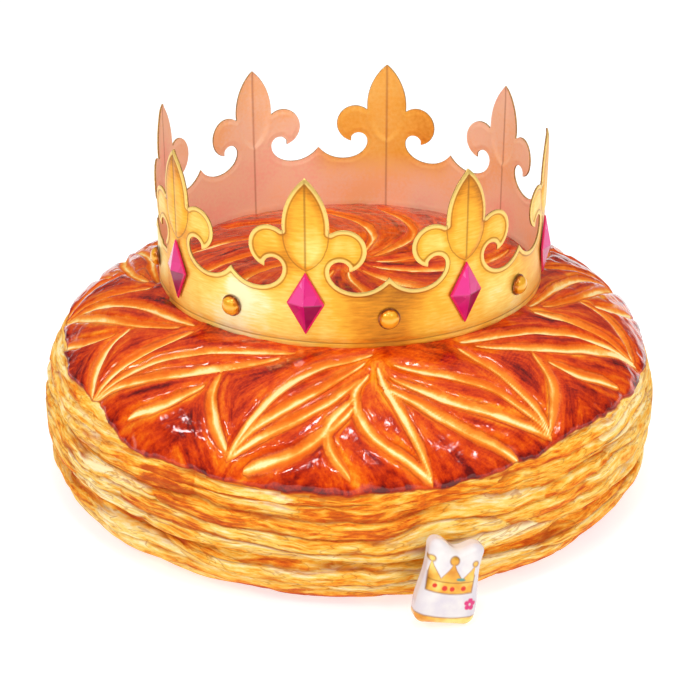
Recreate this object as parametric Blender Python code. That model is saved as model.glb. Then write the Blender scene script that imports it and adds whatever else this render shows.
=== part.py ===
"""Galette des rois: a puffed, scored puff-pastry pie that wears a gold card crown.

The pie stands on z = 0 with its centre on the Z axis, and -Y is its front. A card crown cut
into eight fleurs-de-lis lies on the dome, with eight pink lozenge gems and eight amber studs
on its band. The feve, a small glazed porcelain charm, leans against the front right of the pie.

Sizes are in millimetres and angles in degrees, and MM turns a size into Blender's metres. An
angle round the pie is 0 at the front and grows towards +X.
"""

import math

import bmesh
import bpy
import numpy as np
from mathutils import Matrix, Vector
from mathutils.geometry import delaunay_2d_cdt

MM = 0.001

# ---- driving dimensions of the pie ----
PIE_RADIUS = 130.0  # the widest part of the flaky side
BASE_RADIUS = 113.0  # the flat underside
LID_RADIUS = 125.7  # the edge of the glazed lid
LID_EDGE_HEIGHT = 48.5
DOME_HEIGHT = 89.0
DOME_ROUND = 3.2  # a larger power gives a flatter middle and a rounder shoulder
DOME_SHOULDER = 0.57  # a smaller power gives a steeper shoulder
PIE_COLUMNS = 96
SIDE_WAVE = 0.9  # how far the side bulges in and out round the pie

# The flaky side from the base up: radius, height, and how far the layer wanders up and down.
SIDE_PROFILE = (
    (BASE_RADIUS, 0.0, 0.0),
    (120.8, 3.6, 0.2),
    (125.9, 10.0, 0.8),
    (127.4, 16.5, 1.3),
    (124.8, 20.6, 2.0),
    (128.6, 24.6, 1.6),
    (PIE_RADIUS - SIDE_WAVE, 31.0, 0.8),
    (128.7, 37.6, 0.8),
    (126.2, 42.0, 1.0),
    (127.2, 45.6, 0.5),
)

# ---- the scored leaves of the lid ----
CUT_HALF_WIDTH = 1.9
CUT_DEPTH = 2.3
CUT_END = 0.25  # the cut's width and depth at its two ends, as a share of its middle
LEAF_RISE = 1.1  # how far a leaf swells between two cuts
LEAF_REACH = 7.0  # the distance from a cut at which the leaf is at its highest
LID_EDGE_FADE = 4.0  # the leaves flatten out over this distance from the edge of the lid
STEPS_A_CUT = 5
# Rings of points that carry the dome between the cuts, as (radius, number) pairs.
LID_RINGS = ((123.6, 64), (117.0, 48), (108.0, 44), (98.0, 40), (88.0, 36), (66.0, 24), (44.0, 16), (22.0, 8))
FRONT_ROOT = 6.0  # the leaves sweep away from this angle on both sides
FRONT_APEXES = (38.0, -21.0)  # where the two front fans meet the edge of the lid
BACK_APEX = 170.0  # the fans of the two sides meet here
APEXES_A_SIDE = (4, 5)  # right, left, without the back one
ROOT_LEAD = 6.0  # a side fan starts this far before its own apex
# Each cut of a fan as (share of the way from the root to the apex, radius) pairs.
CROWN_CUT = ((0.0, 80.0), (0.28, 83.0), (0.55, 89.0), (0.8, 101.0), (1.0, 122.0))
LONG_CUT = ((0.08, 84.0), (0.33, 92.5), (0.66, 104.5), (0.86, 113.0), (1.0, 122.0))
MIDDLE_CUT = ((0.12, 92.0), (0.36, 102.0), (0.64, 110.5), (1.0, 122.5))
RIM_CUT = ((0.18, 104.0), (0.35, 112.0), (0.58, 119.5), (0.88, 124.0))
SHORT_CUT = ((0.42, 103.0), (0.5, 110.0), (0.6, 115.5), (0.72, 121.0))
FRONT_LEFT_FAN = (CROWN_CUT, LONG_CUT, MIDDLE_CUT, RIM_CUT)
FRONT_RIGHT_FAN = (
    ((0.17, 86.0), (0.44, 93.0), (0.66, 99.5), (0.81, 106.5), (1.0, 122.0)),
    MIDDLE_CUT,
    ((0.06, 97.0), (0.25, 104.5), (0.5, 116.0), (0.75, 124.5)),
)
SIDE_FAN = (CROWN_CUT, LONG_CUT, SHORT_CUT)
# The cuts that run down from the front root, as (angle from the root, radius) pairs.
FRONT_DROPS = (
    ((-5.0, 101.0), (-9.5, 110.0), (-9.5, 117.0), (-6.0, 124.5)),
    ((-1.5, 90.0), (-5.0, 100.0), (-2.0, 114.0), (8.0, 124.5)),
    ((1.0, 87.0), (2.5, 99.0), (5.5, 113.0), (8.0, 124.5)),
)
# The two cuts that close a leaf onto its own apex, as (angle from the apex, radius) pairs.
NEAR_CUT = ((-8.0, 83.0), (-4.5, 95.0), (-1.5, 108.0), (0.0, 121.0))
FAR_CUT = ((9.0, 97.0), (7.5, 107.0), (4.5, 114.5), (0.5, 121.0))
SWIRLS = 12  # the curved cuts in the middle of the lid, inside the crown
SWIRL_TURN = 48.0  # how far each of them winds round as it runs out
SWIRL_RADII = (12.0, 72.0)

# ---- driving dimensions of the crown ----
CROWN_RADIUS = 79.3
CROWN_SHIFT = (0.5, 2.5)  # the crown's centre, a little behind the pie's
CARD = 0.7  # thickness of the card
GAP = 0.3  # what touching pieces keep between them
FLEURS = 8
FIRST_FLEUR = -57.0  # the card's outer end is beside this fleur
CROWN_LIFT = 84.4  # the height of the band's lower edge, on the tops of the leaves
CROWN_TILT = 0.45  # its back lies a little lower than its front
PITCH = 2.0 * math.pi * CROWN_RADIUS / FLEURS
BENDS_A_FLEUR = 8
SEAM_OFFSET = -11.0  # the outer end of the card, from the middle of its fleur
TAB_END = -2.0  # the inner end of the card, which passes under the outer one
SEAM_MARGIN = 4.0  # the two ends are fully apart this far beyond their overlap
SEAM_FADE = 24.0  # the length over which each end leaves the round
TAB_HEIGHT = 21.5

# One fleur-de-lis, half of it, in millimetres from its middle line and from the band's edge.
TIP_HEIGHT = 67.0
PETAL_WIDEST = (8.9, 48.0)
LOBE_CENTRE = (14.2, 39.3)
LOBE_RADIUS = 8.4
PETAL_FOOT_ANGLE = -4.0
NOTCH_TURN = 4.0  # the lobe's arc starts this far past the petal's foot
HOOK_ANGLE = -76.0
EYE_CENTRE = (12.7, 31.2)
EYE_RADIUS = 3.9
EYE_OPENS_AT = 28.0
SCOOP_BOTTOM = (19.8, 22.9)
SADDLE_HEIGHT = 28.6

# ---- driving dimensions of the gems, the studs and the feve ----
GEM_WIDTH = 14.6
GEM_HEIGHT = 25.2
GEM_DEPTH = 3.4
GEM_GIRDLE = 0.7
GEM_LIFT = 18.1  # the gem's middle above the band's lower edge
STUD_DIAMETER = 8.6
STUD_DOME = 2.9
STUD_RIM = 0.4
STUD_LIFT = 12.0
STUD_SIDES = 14
FEVE_WIDTH = 24.0
FEVE_HEIGHT = 33.0
FEVE_DEPTH = 11.5
FEVE_CORNER = 3.6  # radius of its rounded edges
FEVE_PILLOW = 0.25  # how much thinner it is at its edges than in the middle
FEVE_WAIST = 0.07  # how far its sides pull in, as a share of its half width
FEVE_FULLEST = 0.22  # the share of its height at which it is widest
FEVE_DIP = 3.0  # depth of the dip in its top
FEVE_DIP_REACH = 0.65  # the share of its half width that the dip takes
FEVE_LEFT_RISE = 0.2  # the left upper corner stands this share of the dip higher
FEVE_CUTS = 6
FEVE_ANGLE = 14.0  # where it leans on the pie
FEVE_LEAN = 8.0  # how far its top leans back
FEVE_ROLL = 12.0  # how far it tips to the right
FEVE_DISTANCE = 138.7  # from the pie's axis to the middle of its foot
FEVE_FLOOR_GAP = 0.1


def clear_scene():
    for thing in list(bpy.data.objects):
        bpy.data.objects.remove(thing)


def material(name, colour, roughness, metallic=0.0):
    made = bpy.data.materials.new(name)
    made.use_nodes = True
    shader = made.node_tree.nodes["Principled BSDF"]
    shader.inputs["Base Color"].default_value = (*colour, 1.0)
    shader.inputs["Roughness"].default_value = roughness
    shader.inputs["Metallic"].default_value = metallic
    return made


def add_object(name, shape, finish, sharp=35.0):
    """Turn a bmesh in millimetres into a smooth-shaded object in metres."""
    bmesh.ops.scale(shape, vec=Vector((MM, MM, MM)), verts=shape.verts)
    bmesh.ops.recalc_face_normals(shape, faces=shape.faces)
    mesh = bpy.data.meshes.new(name)
    shape.to_mesh(mesh)
    shape.free()
    mesh.shade_smooth()
    mesh.set_sharp_from_angle(angle=math.radians(sharp))
    mesh.materials.append(finish)
    made = bpy.data.objects.new(name, mesh)
    bpy.context.scene.collection.objects.link(made)
    return made


def round_place(radius, angle, height=0.0, centre=(0.0, 0.0)):
    turn = math.radians(angle)
    return Vector((centre[0] + radius * math.sin(turn), centre[1] - radius * math.cos(turn), height))


def smooth_step(x):
    x = min(max(x, 0.0), 1.0)
    return x * x * (3.0 - 2.0 * x)


# ---- the pie ----


def dome_height(radius):
    """The lid without its leaves: a flat-topped dome with a steep, round shoulder."""
    share = np.clip(np.asarray(radius, dtype=float) / LID_RADIUS, 0.0, 1.0)
    rise = (1.0 - share**DOME_ROUND) ** DOME_SHOULDER
    return LID_EDGE_HEIGHT + (DOME_HEIGHT - LID_EDGE_HEIGHT) * rise


def between(root, apex, cut):
    return [(root + share * (apex - root), radius) for share, radius in cut]


def apex_rows():
    """The apexes of the right side and of the left side, from the front one to the back one."""
    rows = []
    for side, first, count in zip((1, -1), FRONT_APEXES, APEXES_A_SIDE):
        back = BACK_APEX if side > 0 else BACK_APEX - 360.0
        rows.append((side, [first + (back - first) * i / count for i in range(count + 1)]))
    return rows


def score_lines():
    """Every cut of the lid as a list of (angle, radius) points."""
    lines = []
    for fan, apex in zip((FRONT_RIGHT_FAN, FRONT_LEFT_FAN), FRONT_APEXES):
        lines += [between(FRONT_ROOT, apex, cut) for cut in fan]
    lines += [[(FRONT_ROOT + a, r) for a, r in drop] for drop in FRONT_DROPS]
    for side, apexes in apex_rows():
        for own, apex in zip(apexes, apexes[1:]):
            lines += [between(own - side * ROOT_LEAD, apex, cut) for cut in SIDE_FAN]
            lines.append([(own + side * a, r) for a, r in FAR_CUT])
            if own != FRONT_APEXES[1]:
                lines.append([(own + side * a, r) for a, r in NEAR_CUT])
    inner, outer = SWIRL_RADII
    for i in range(SWIRLS):
        start = 360.0 * i / SWIRLS
        shares = (0.0, 0.3, 0.6, 1.0)
        lines.append([(start + SWIRL_TURN * s**1.3, inner + (outer - inner) * s) for s in shares])
    return lines


def curve_points(line, steps):
    """A Catmull-Rom curve through the (angle, radius) points, as plan coordinates."""
    knots = np.array([line[0], *line, line[-1]], dtype=float)
    spans = len(line) - 1
    points = []
    for t in np.linspace(0.0, spans, steps + 1):
        i = min(int(t), spans - 1)
        a, b, c, d = knots[i : i + 4]
        u = t - i
        points.append(
            0.5 * (2 * b + (c - a) * u + (2 * a - 5 * b + 4 * c - d) * u**2 + (3 * b - a - 3 * c + d) * u**3)
        )
    angle, radius = np.radians([p[0] for p in points]), np.array([p[1] for p in points])
    return np.stack([radius * np.sin(angle), -radius * np.cos(angle)], axis=1)


def cut_taper(steps):
    """The cut's width along its length: narrow where the blade goes in and comes out."""
    share = np.linspace(0.0, 1.0, steps + 1)
    return CUT_END + (1.0 - CUT_END) * np.sin(np.pi * share) ** 0.6


def distance_to_cuts(points, curves):
    """For each point, its distance to the nearest cut and the depth of cut that reaches it."""
    nearest = np.full(len(points), 1e9)
    depth = np.zeros(len(points))
    for curve in curves:
        width = cut_taper(len(curve) - 1)
        for i in range(len(curve) - 1):
            start, along = curve[i], curve[i + 1] - curve[i]
            t = np.clip(((points - start) @ along) / (along @ along), 0.0, 1.0)
            away = np.linalg.norm(points - start - t[:, None] * along, axis=1)
            local = width[i] + t * (width[i + 1] - width[i])
            nearest = np.minimum(nearest, away)
            depth = np.maximum(depth, CUT_DEPTH * local * (1.0 - away / (CUT_HALF_WIDTH * local)))
    return nearest, np.maximum(depth, 0.0)


def lid_plan(curves):
    """Triangles in plan that follow the cuts, inside a regular polygon at the lid's edge."""
    points, edges = [], []

    def chain(chain_points, closed=False):
        first = len(points)
        points.extend(Vector(p) for p in chain_points)
        last = len(points) - 1
        edges.extend((i, i + 1) for i in range(first, last))
        if closed:
            edges.append((last, first))

    turns = np.radians(np.arange(PIE_COLUMNS) * 360.0 / PIE_COLUMNS)
    chain(np.stack([LID_RADIUS * np.sin(turns), -LID_RADIUS * np.cos(turns)], axis=1), closed=True)
    for curve in curves:
        width = CUT_HALF_WIDTH * cut_taper(len(curve) - 1)[:, None]
        run = np.gradient(curve, axis=0)
        across = np.stack([-run[:, 1], run[:, 0]], axis=1) / np.linalg.norm(run, axis=1)[:, None]
        chain(curve)
        chain(curve + across * width)
        chain(curve - across * width)
    for radius, count in LID_RINGS:
        ring = np.radians((np.arange(count) + 0.5) * 360.0 / count)
        places = np.stack([radius * np.sin(ring), -radius * np.cos(ring)], axis=1)
        away, _ = distance_to_cuts(places, curves)
        points.extend(Vector(p) for p, d in zip(places, away) if d > 1.5 * CUT_HALF_WIDTH)
    points.append(Vector((0.0, 0.0)))
    flat, _, triangles, *_ = delaunay_2d_cdt(points, edges, [], 0, 0.25, False)
    return np.array([(p.x, p.y) for p in flat]), triangles


def side_ring(level, radius, height, wander):
    """One ring of the flaky side, which bulges and wanders a little as it goes round."""
    places = []
    for column in range(PIE_COLUMNS):
        angle = 360.0 * column / PIE_COLUMNS
        turn = math.radians(angle)
        lift = wander * (0.6 * math.sin(3 * turn + 0.7 * level) + 0.4 * math.sin(7 * turn + 1.9 * level))
        swell = 0.6 * math.sin(4 * turn + 0.5 + 0.3 * level) + 0.4 * math.sin(9 * turn + 1.1 * level)
        if height == 0.0:
            swell = 0.0
        places.append(round_place(radius + SIDE_WAVE * swell, angle, height + lift))
    return places


def make_pie():
    curves = [curve_points(line, STEPS_A_CUT) for line in score_lines()]
    flat, triangles = lid_plan(curves)
    away, depth = distance_to_cuts(flat, curves)
    radius = np.linalg.norm(flat, axis=1)
    swell = LEAF_RISE * np.sin(0.5 * np.pi * np.clip(away / LEAF_REACH, 0.0, 1.0))
    edge_fade = np.clip((LID_RADIUS - radius) / LID_EDGE_FADE, 0.0, 1.0)
    height = dome_height(radius) + edge_fade * (swell - depth)

    shape = bmesh.new()
    lid = [shape.verts.new((x, y, z)) for (x, y), z in zip(flat, height)]
    for triangle in triangles:
        shape.faces.new([lid[i] for i in triangle])
    shape.edges.ensure_lookup_table()
    rim = {v for e in shape.edges if e.is_boundary for v in e.verts}
    upper = sorted(rim, key=lambda v: math.atan2(v.co.x, -v.co.y) % (2.0 * math.pi))
    if len(upper) != PIE_COLUMNS:
        raise ValueError(f"the lid's edge has {len(upper)} points, not {PIE_COLUMNS}")
    for level, (ring_radius, ring_height, wander) in reversed(list(enumerate(SIDE_PROFILE))):
        ring = [shape.verts.new(p) for p in side_ring(level, ring_radius, ring_height, wander)]
        for i in range(PIE_COLUMNS):
            j = (i + 1) % PIE_COLUMNS
            shape.faces.new((upper[i], upper[j], ring[j], ring[i]))
        upper = ring
    shape.faces.new(upper)
    bmesh.ops.triangulate(shape, faces=shape.faces)
    add_object("galette", shape, material("baked_puff_pastry", (0.62, 0.24, 0.06), 0.45), sharp=50.0)


# ---- the crown ----


def arc(centre, radii, start, end, steps):
    """Points on an ellipse's arc, both ends included."""
    angles = [math.radians(start + (end - start) * i / steps) for i in range(steps + 1)]
    return [(centre[0] + radii[0] * math.cos(a), centre[1] + radii[1] * math.sin(a)) for a in angles]


def half_fleur():
    """The right half of a fleur, from its tip over lobe, hook and eye to the saddle between fleurs."""
    widest_x, widest_y = PETAL_WIDEST
    rise = TIP_HEIGHT - widest_y
    petal_radius = (widest_x**2 + rise**2) / (2.0 * widest_x)
    petal_centre = (widest_x - petal_radius, widest_y)
    tip_angle = math.degrees(math.atan2(rise, -petal_centre[0]))
    petal = arc(petal_centre, (petal_radius, petal_radius), tip_angle, PETAL_FOOT_ANGLE, 4)
    meeting = math.degrees(math.acos((petal[-1][0] - LOBE_CENTRE[0]) / LOBE_RADIUS))
    lobe = arc(LOBE_CENTRE, (LOBE_RADIUS, LOBE_RADIUS), meeting - NOTCH_TURN, HOOK_ANGLE, 7)
    eye = arc(EYE_CENTRE, (EYE_RADIUS, EYE_RADIUS), EYE_OPENS_AT, 180.0, 4)
    neck_x, neck_y = eye[-1]
    low_x, low_y = SCOOP_BOTTOM
    scoop = arc((low_x, neck_y), (low_x - neck_x, neck_y - low_y), 180.0, 270.0, 4)
    climb, run = SADDLE_HEIGHT - low_y, 0.5 * PITCH - low_x
    wall_radius = (run**2 + climb**2) / (2.0 * climb)
    wall_end = -90.0 + math.degrees(math.asin(run / wall_radius))
    wall = arc((low_x, low_y + wall_radius), (wall_radius, wall_radius), -90.0, wall_end, 3)
    return petal, lobe, eye, scoop, wall


def card_outline():
    """The flat card's outline: x along the band from the first fleur's middle, y up from its edge."""
    petal, lobe, eye, scoop, wall = half_fleur()
    crest = petal + lobe + eye
    right = crest + scoop[1:] + wall[1:]
    neck_x, neck_y = eye[-1]
    low_x, low_y = SCOOP_BOTTOM
    share = (low_x + SEAM_OFFSET) / (low_x - neck_x)
    seam_top = neck_y - (neck_y - low_y) * math.sqrt(1.0 - share**2)
    kept = [p for p in scoop[1:] if p[0] < -SEAM_OFFSET]
    outline = [(SEAM_OFFSET, 0.0), (SEAM_OFFSET, seam_top)]
    outline += [(-x, y) for x, y in reversed(crest + kept)] + right[1:]
    for fleur in range(1, FLEURS):
        shift = fleur * PITCH
        outline += [(shift - x, y) for x, y in reversed(right[:-1])]
        outline += [(shift + x, y) for x, y in right[1:]]
    length = FLEURS * PITCH
    outline += [(length - x, y) for x, y in reversed(wall[1:-1])]
    outline += [(length - low_x, TAB_HEIGHT), (length + TAB_END, TAB_HEIGHT), (length + TAB_END, 0.0)]
    return outline


def band_radius(x):
    """The card's middle radius: its ends leave the round so that one passes over the other."""
    apart = 0.5 * (CARD + GAP)
    seam_again = FLEURS * PITCH + SEAM_OFFSET
    outer = 1.0 - smooth_step((x - TAB_END - SEAM_MARGIN) / SEAM_FADE)
    inner = smooth_step((x - seam_again + SEAM_MARGIN + SEAM_FADE) / SEAM_FADE)
    return CROWN_RADIUS + apart * (outer - inner)


def on_crown(x, y, out=0.0):
    """Where a point of the flat card comes to lie when the card is bent round."""
    angle = FIRST_FLEUR + 360.0 * x / (FLEURS * PITCH)
    place = round_place(band_radius(x) + out, angle, CROWN_LIFT + y, CROWN_SHIFT)
    place.z -= math.tan(math.radians(CROWN_TILT)) * (place.y - CROWN_SHIFT[1])
    return place


def make_crown():
    shape = bmesh.new()
    shape.faces.new([shape.verts.new((x, 0.0, y)) for x, y in card_outline()])
    bend = PITCH / BENDS_A_FLEUR
    lobe_end = LOBE_CENTRE[0] + LOBE_RADIUS
    for i in range(-int(lobe_end / bend), FLEURS * BENDS_A_FLEUR):
        everything = shape.verts[:] + shape.edges[:] + shape.faces[:]
        place = (i * bend, 0.0, 0.0)
        bmesh.ops.bisect_plane(shape, geom=everything, plane_co=place, plane_no=(1.0, 0.0, 0.0), dist=0.05)
    bmesh.ops.triangulate(shape, faces=shape.faces)
    front = {v: v.co.copy() for v in shape.verts}
    faces = [[v for v in f.verts] for f in shape.faces]
    borders = [tuple(e.verts) for e in shape.edges if e.is_boundary]
    back = {v: shape.verts.new(on_crown(flat.x, flat.z, -0.5 * CARD)) for v, flat in front.items()}
    for vert, flat in front.items():
        vert.co = on_crown(flat.x, flat.z, 0.5 * CARD)
    for corners in faces:
        shape.faces.new([back[v] for v in reversed(corners)])
    for a, b in borders:
        shape.faces.new((a, b, back[b], back[a]))
    bmesh.ops.triangulate(shape, faces=shape.faces)
    add_object("crown", shape, material("gold_card", (0.83, 0.55, 0.16), 0.3, 0.7), sharp=40.0)


def on_band(fleur, height):
    """A frame on the outside of the band: its Z axis points out of the card and its Y axis up."""
    x = fleur * PITCH
    place = on_crown(x, height, 0.5 * CARD + GAP)
    angle = FIRST_FLEUR + 360.0 * x / (FLEURS * PITCH)
    turn = Matrix.Rotation(math.radians(angle), 4, "Z") @ Matrix.Rotation(math.radians(90.0), 4, "X")
    return Matrix.Translation(place * MM) @ turn


def make_gems():
    """Flat-backed lozenges whose four facets meet in a point over the girdle."""
    finish = material("pink_acrylic", (0.76, 0.02, 0.22), 0.12)
    side, end = 0.5 * GEM_WIDTH, 0.5 * GEM_HEIGHT
    corners = [(side, 0.0), (0.0, end), (-side, 0.0), (0.0, -end)]
    for fleur in range(FLEURS):
        shape = bmesh.new()
        rings = [[shape.verts.new((x, y, z)) for x, y in corners] for z in (0.0, GEM_GIRDLE)]
        point = shape.verts.new((0.0, 0.0, GEM_DEPTH))
        shape.faces.new(reversed(rings[0]))
        for i in range(4):
            j = (i + 1) % 4
            shape.faces.new((rings[0][i], rings[0][j], rings[1][j], rings[1][i]))
            shape.faces.new((rings[1][i], rings[1][j], point))
        gem = add_object(f"gem_{fleur + 1}", shape, finish, sharp=1.0)
        gem.matrix_world = on_band(fleur, GEM_LIFT)


def make_studs():
    """Low round domes on a thin rim, half way between the gems."""
    finish = material("amber_lacquer", (0.80, 0.33, 0.03), 0.15, 0.4)
    radius = 0.5 * STUD_DIAMETER
    profile = [(radius, 0.0), (radius, STUD_RIM)]
    profile += arc((0.0, STUD_RIM), (0.93 * radius, STUD_DOME), 20.0, 66.0, 2)
    turns = [2.0 * math.pi * i / STUD_SIDES for i in range(STUD_SIDES)]
    for stud in range(FLEURS):
        shape = bmesh.new()
        rings = [[shape.verts.new((r * math.cos(a), r * math.sin(a), z)) for a in turns] for r, z in profile]
        for low, high in zip(rings, rings[1:]):
            for i in range(STUD_SIDES):
                j = (i + 1) % STUD_SIDES
                shape.faces.new((low[i], low[j], high[j], high[i]))
        shape.faces.new(reversed(rings[0]))
        shape.faces.new(rings[-1])
        made = add_object(f"stud_{stud + 1}", shape, finish)
        made.matrix_world = on_band(stud + 0.5, STUD_LIFT)


# ---- the feve ----


def make_feve():
    """A rounded block of porcelain, pinched at its waist, with a dip between its upper corners."""
    shape = bmesh.new()
    bmesh.ops.create_cube(shape, size=2.0)
    bmesh.ops.subdivide_edges(shape, edges=shape.edges[:], cuts=FEVE_CUTS, use_grid_fill=True)
    half = Vector((0.5 * FEVE_WIDTH, 0.5 * FEVE_DEPTH, 0.5 * FEVE_HEIGHT))
    core = half - Vector((FEVE_CORNER, FEVE_CORNER, FEVE_CORNER))
    for vert in shape.verts:
        corner = Vector(c * h for c, h in zip(vert.co, half))
        inner = Vector(min(max(c, -k), k) for c, k in zip(corner, core))
        place = inner + FEVE_CORNER * (corner - inner).normalized()
        across, up = place.x / half.x, 0.5 + 0.5 * place.z / half.z
        place.x *= 1.0 - FEVE_WAIST * (1.0 - math.cos(2.0 * math.pi * (up - FEVE_FULLEST)))
        place.y *= 1.0 - FEVE_PILLOW * (1.0 - (1.0 - across**2) * (1.0 - (2.0 * up - 1.0) ** 4))
        dip = math.cos(0.5 * math.pi * min(abs(across) / FEVE_DIP_REACH, 1.0)) ** 2
        place.z += half.z - FEVE_DIP * up**5 * (dip + FEVE_LEFT_RISE * across)
        vert.co = place
    bmesh.ops.triangulate(shape, faces=shape.faces)
    made = add_object("feve", shape, material("glazed_porcelain", (0.86, 0.83, 0.79), 0.12))
    turn = (
        Matrix.Rotation(math.radians(FEVE_ANGLE), 4, "Z")
        @ Matrix.Rotation(math.radians(-FEVE_LEAN), 4, "X")
        @ Matrix.Rotation(math.radians(FEVE_ROLL), 4, "Y")
    )
    lowest = min((turn @ v.co).z for v in made.data.vertices)
    foot = round_place(FEVE_DISTANCE, FEVE_ANGLE) * MM
    made.matrix_world = Matrix.Translation(foot + Vector((0.0, 0.0, FEVE_FLOOR_GAP * MM - lowest))) @ turn


clear_scene()
make_pie()
make_crown()
make_gems()
make_studs()
make_feve()
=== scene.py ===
# %% [markdown]
# # A galette des rois under its card crown
#
# A galette des rois is the pie of Epiphany: two rounds of puff pastry sealed round an almond
# filling, scored with a knife, brushed with egg and baked until the lid shines. A gold card
# crown comes with it, and a small porcelain charm, the feve, is hidden in a slice. Here the
# crown lies on the pie and the charm leans at its foot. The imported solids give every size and
# place. This script makes the surfaces that one sees.

import itertools
import math

import bpy
import numpy as np
from mathutils import Matrix, Vector
from mathutils.geometry import delaunay_2d_cdt
from mathutils.kdtree import KDTree


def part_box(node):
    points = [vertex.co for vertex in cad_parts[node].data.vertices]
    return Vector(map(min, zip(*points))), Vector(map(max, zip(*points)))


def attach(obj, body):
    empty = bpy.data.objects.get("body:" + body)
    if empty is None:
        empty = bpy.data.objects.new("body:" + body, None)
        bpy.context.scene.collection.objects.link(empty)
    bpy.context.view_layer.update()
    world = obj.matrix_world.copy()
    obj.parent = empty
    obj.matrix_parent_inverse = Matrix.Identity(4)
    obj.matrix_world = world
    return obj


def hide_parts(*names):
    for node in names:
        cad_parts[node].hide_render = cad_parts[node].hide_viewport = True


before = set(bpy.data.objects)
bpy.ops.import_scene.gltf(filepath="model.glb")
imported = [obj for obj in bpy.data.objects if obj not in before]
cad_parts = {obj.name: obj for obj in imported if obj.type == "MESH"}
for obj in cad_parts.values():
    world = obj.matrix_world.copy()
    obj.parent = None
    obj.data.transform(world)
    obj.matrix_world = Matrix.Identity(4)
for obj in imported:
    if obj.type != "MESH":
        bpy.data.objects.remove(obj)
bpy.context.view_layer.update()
MM = 0.001  # the sizes below are in millimetres, and Blender works in metres
print("nodes:", ", ".join(sorted(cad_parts)))

# %% [markdown]
# ## Camera, floor and light
#
# The view looks down on the pie at about 25 degrees with a portrait lens, so that the lid, the
# crown's ring and the flaky side all show. The floor and the backdrop are plain and pale. Two
# kinds of light do two jobs. Large diffusers that no gloss mirrors light the dough evenly. Small
# lamps, each about the size of a hand, are what the glaze, the foil and the gems mirror: each
# blister of the egg wash shows them as a short sharp glint, where a large light would turn the
# lid milky.

# %% The camera
CAMERA_ELEVATION = 25.35  # degrees
CAMERA_DISTANCE = 0.708  # metres, as all places of the camera and the lights
CAMERA_TARGET = Vector((0.0004, 0.0, 0.048))

scene = bpy.context.scene
lift = math.radians(CAMERA_ELEVATION)
camera = bpy.data.objects.new("camera", bpy.data.cameras.new("camera"))
camera.data.lens = 85.0
camera.data.sensor_width = 36.0
camera.location = CAMERA_TARGET + CAMERA_DISTANCE * Vector((0.0, -math.cos(lift), math.sin(lift)))
camera.rotation_euler = (math.radians(90.0) - lift, 0.0, 0.0)
scene.collection.objects.link(camera)
scene.camera = camera
print("camera at", [round(v, 3) for v in camera.location])


# %% Colours, nodes and materials
def linear(hex_colour):
    """An sRGB hex colour as the linear RGBA that a shader takes."""
    shares = [int(hex_colour[i : i + 2], 16) / 255.0 for i in (1, 3, 5)]
    return [s / 12.92 if s <= 0.04045 else ((s + 0.055) / 1.055) ** 2.4 for s in shares] + [1.0]


def fill_in(node, inputs):
    """Gives a node its inputs. Each is a number, a hex colour or the output of another node."""
    for key, value in inputs.items():
        if isinstance(value, bpy.types.NodeSocket):
            node.id_data.links.new(value, node.inputs[key])
        else:
            node.inputs[key].default_value = linear(value) if isinstance(value, str) else value


def add_node(tree, kind, inputs=(), out=0, ramp=None, **settings):
    """Adds one node and gives back an output. A tuple of inputs fills them in their order."""
    node = tree.nodes.new("ShaderNode" + kind)
    for name, value in settings.items():
        setattr(node, name, value)
    fill_in(node, inputs if isinstance(inputs, dict) else dict(enumerate(inputs)))
    if ramp:
        stops = node.color_ramp.elements
        while len(stops) < len(ramp):
            stops.new(1.0)
        for stop, (place, shade) in zip(stops, ramp):
            stop.position = place
            stop.color = linear(shade)
    return node.outputs[out]


def every(millimetres):
    """The scale of a texture whose pattern comes again about every so many millimetres."""
    return 1.0 / (millimetres * MM)


def new_material(name):
    """An empty material: its node tree and its shader, with the output already linked."""
    made = bpy.data.materials.new(name)
    made.use_nodes = True
    tree = made.node_tree
    return made, tree, tree.nodes["Principled BSDF"]


print("a warm gold as a shader takes it:", [round(v, 3) for v in linear("#f4b446")])

# %% The floor
# It is far wider than the pie, so that in the main view it fills the whole background.
bpy.ops.object.select_all(action="DESELECT")
bpy.ops.mesh.primitive_plane_add(size=30.0)
floor = bpy.context.object
floor.name = "floor"
# Uncoated paper that glows a little, as a floor does under a wide soft light: it gives no
# highlight and hardly a shadow.
pale_paper, tree, shader = new_material("pale_backdrop_paper")
fill_in(shader, {"Base Color": "#c4c6c8", "Roughness": 0.9, "Specular IOR Level": 0.1})
fill_in(shader, {"Emission Color": "#ffffff", "Emission Strength": 0.66})
floor.data.materials.append(pale_paper)
print("floor:", floor.dimensions[:2])

# %% The lights
LIGHTS_AIM = Vector((0.0, 0.0, 0.06))
LAMPS = (  # name, place, width and watts of the lights that the glaze mirrors
    ("key_light", (-0.8, -0.6, 1.05), 0.16, 3.4),
    ("top_light", (-0.05, -0.35, 1.3), 0.14, 2.2),
    ("right_light", (0.65, -0.7, 0.95), 0.12, 1.4),
    ("small_lamp_1", (-0.35, -0.85, 0.95), 0.09, 0.8),
    ("small_lamp_2", (0.3, -0.8, 1.1), 0.09, 0.8),
    ("small_lamp_3", (-0.95, -0.25, 0.85), 0.09, 0.8),
)
DIFFUSERS = (  # the same, for the lights that leave no highlight
    ("overhead_diffuser", (0.0, -0.1, 1.5), 1.6, 5.8),
    ("right_diffuser", (1.1, -0.9, 0.5), 0.9, 6.8),
    ("left_diffuser", (-1.1, -1.0, 0.4), 0.9, 4.3),
    ("back_diffuser", (0.3, 1.2, 0.8), 0.9, 4.0),
)
KEY_TINT = "#fffaf2"

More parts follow.
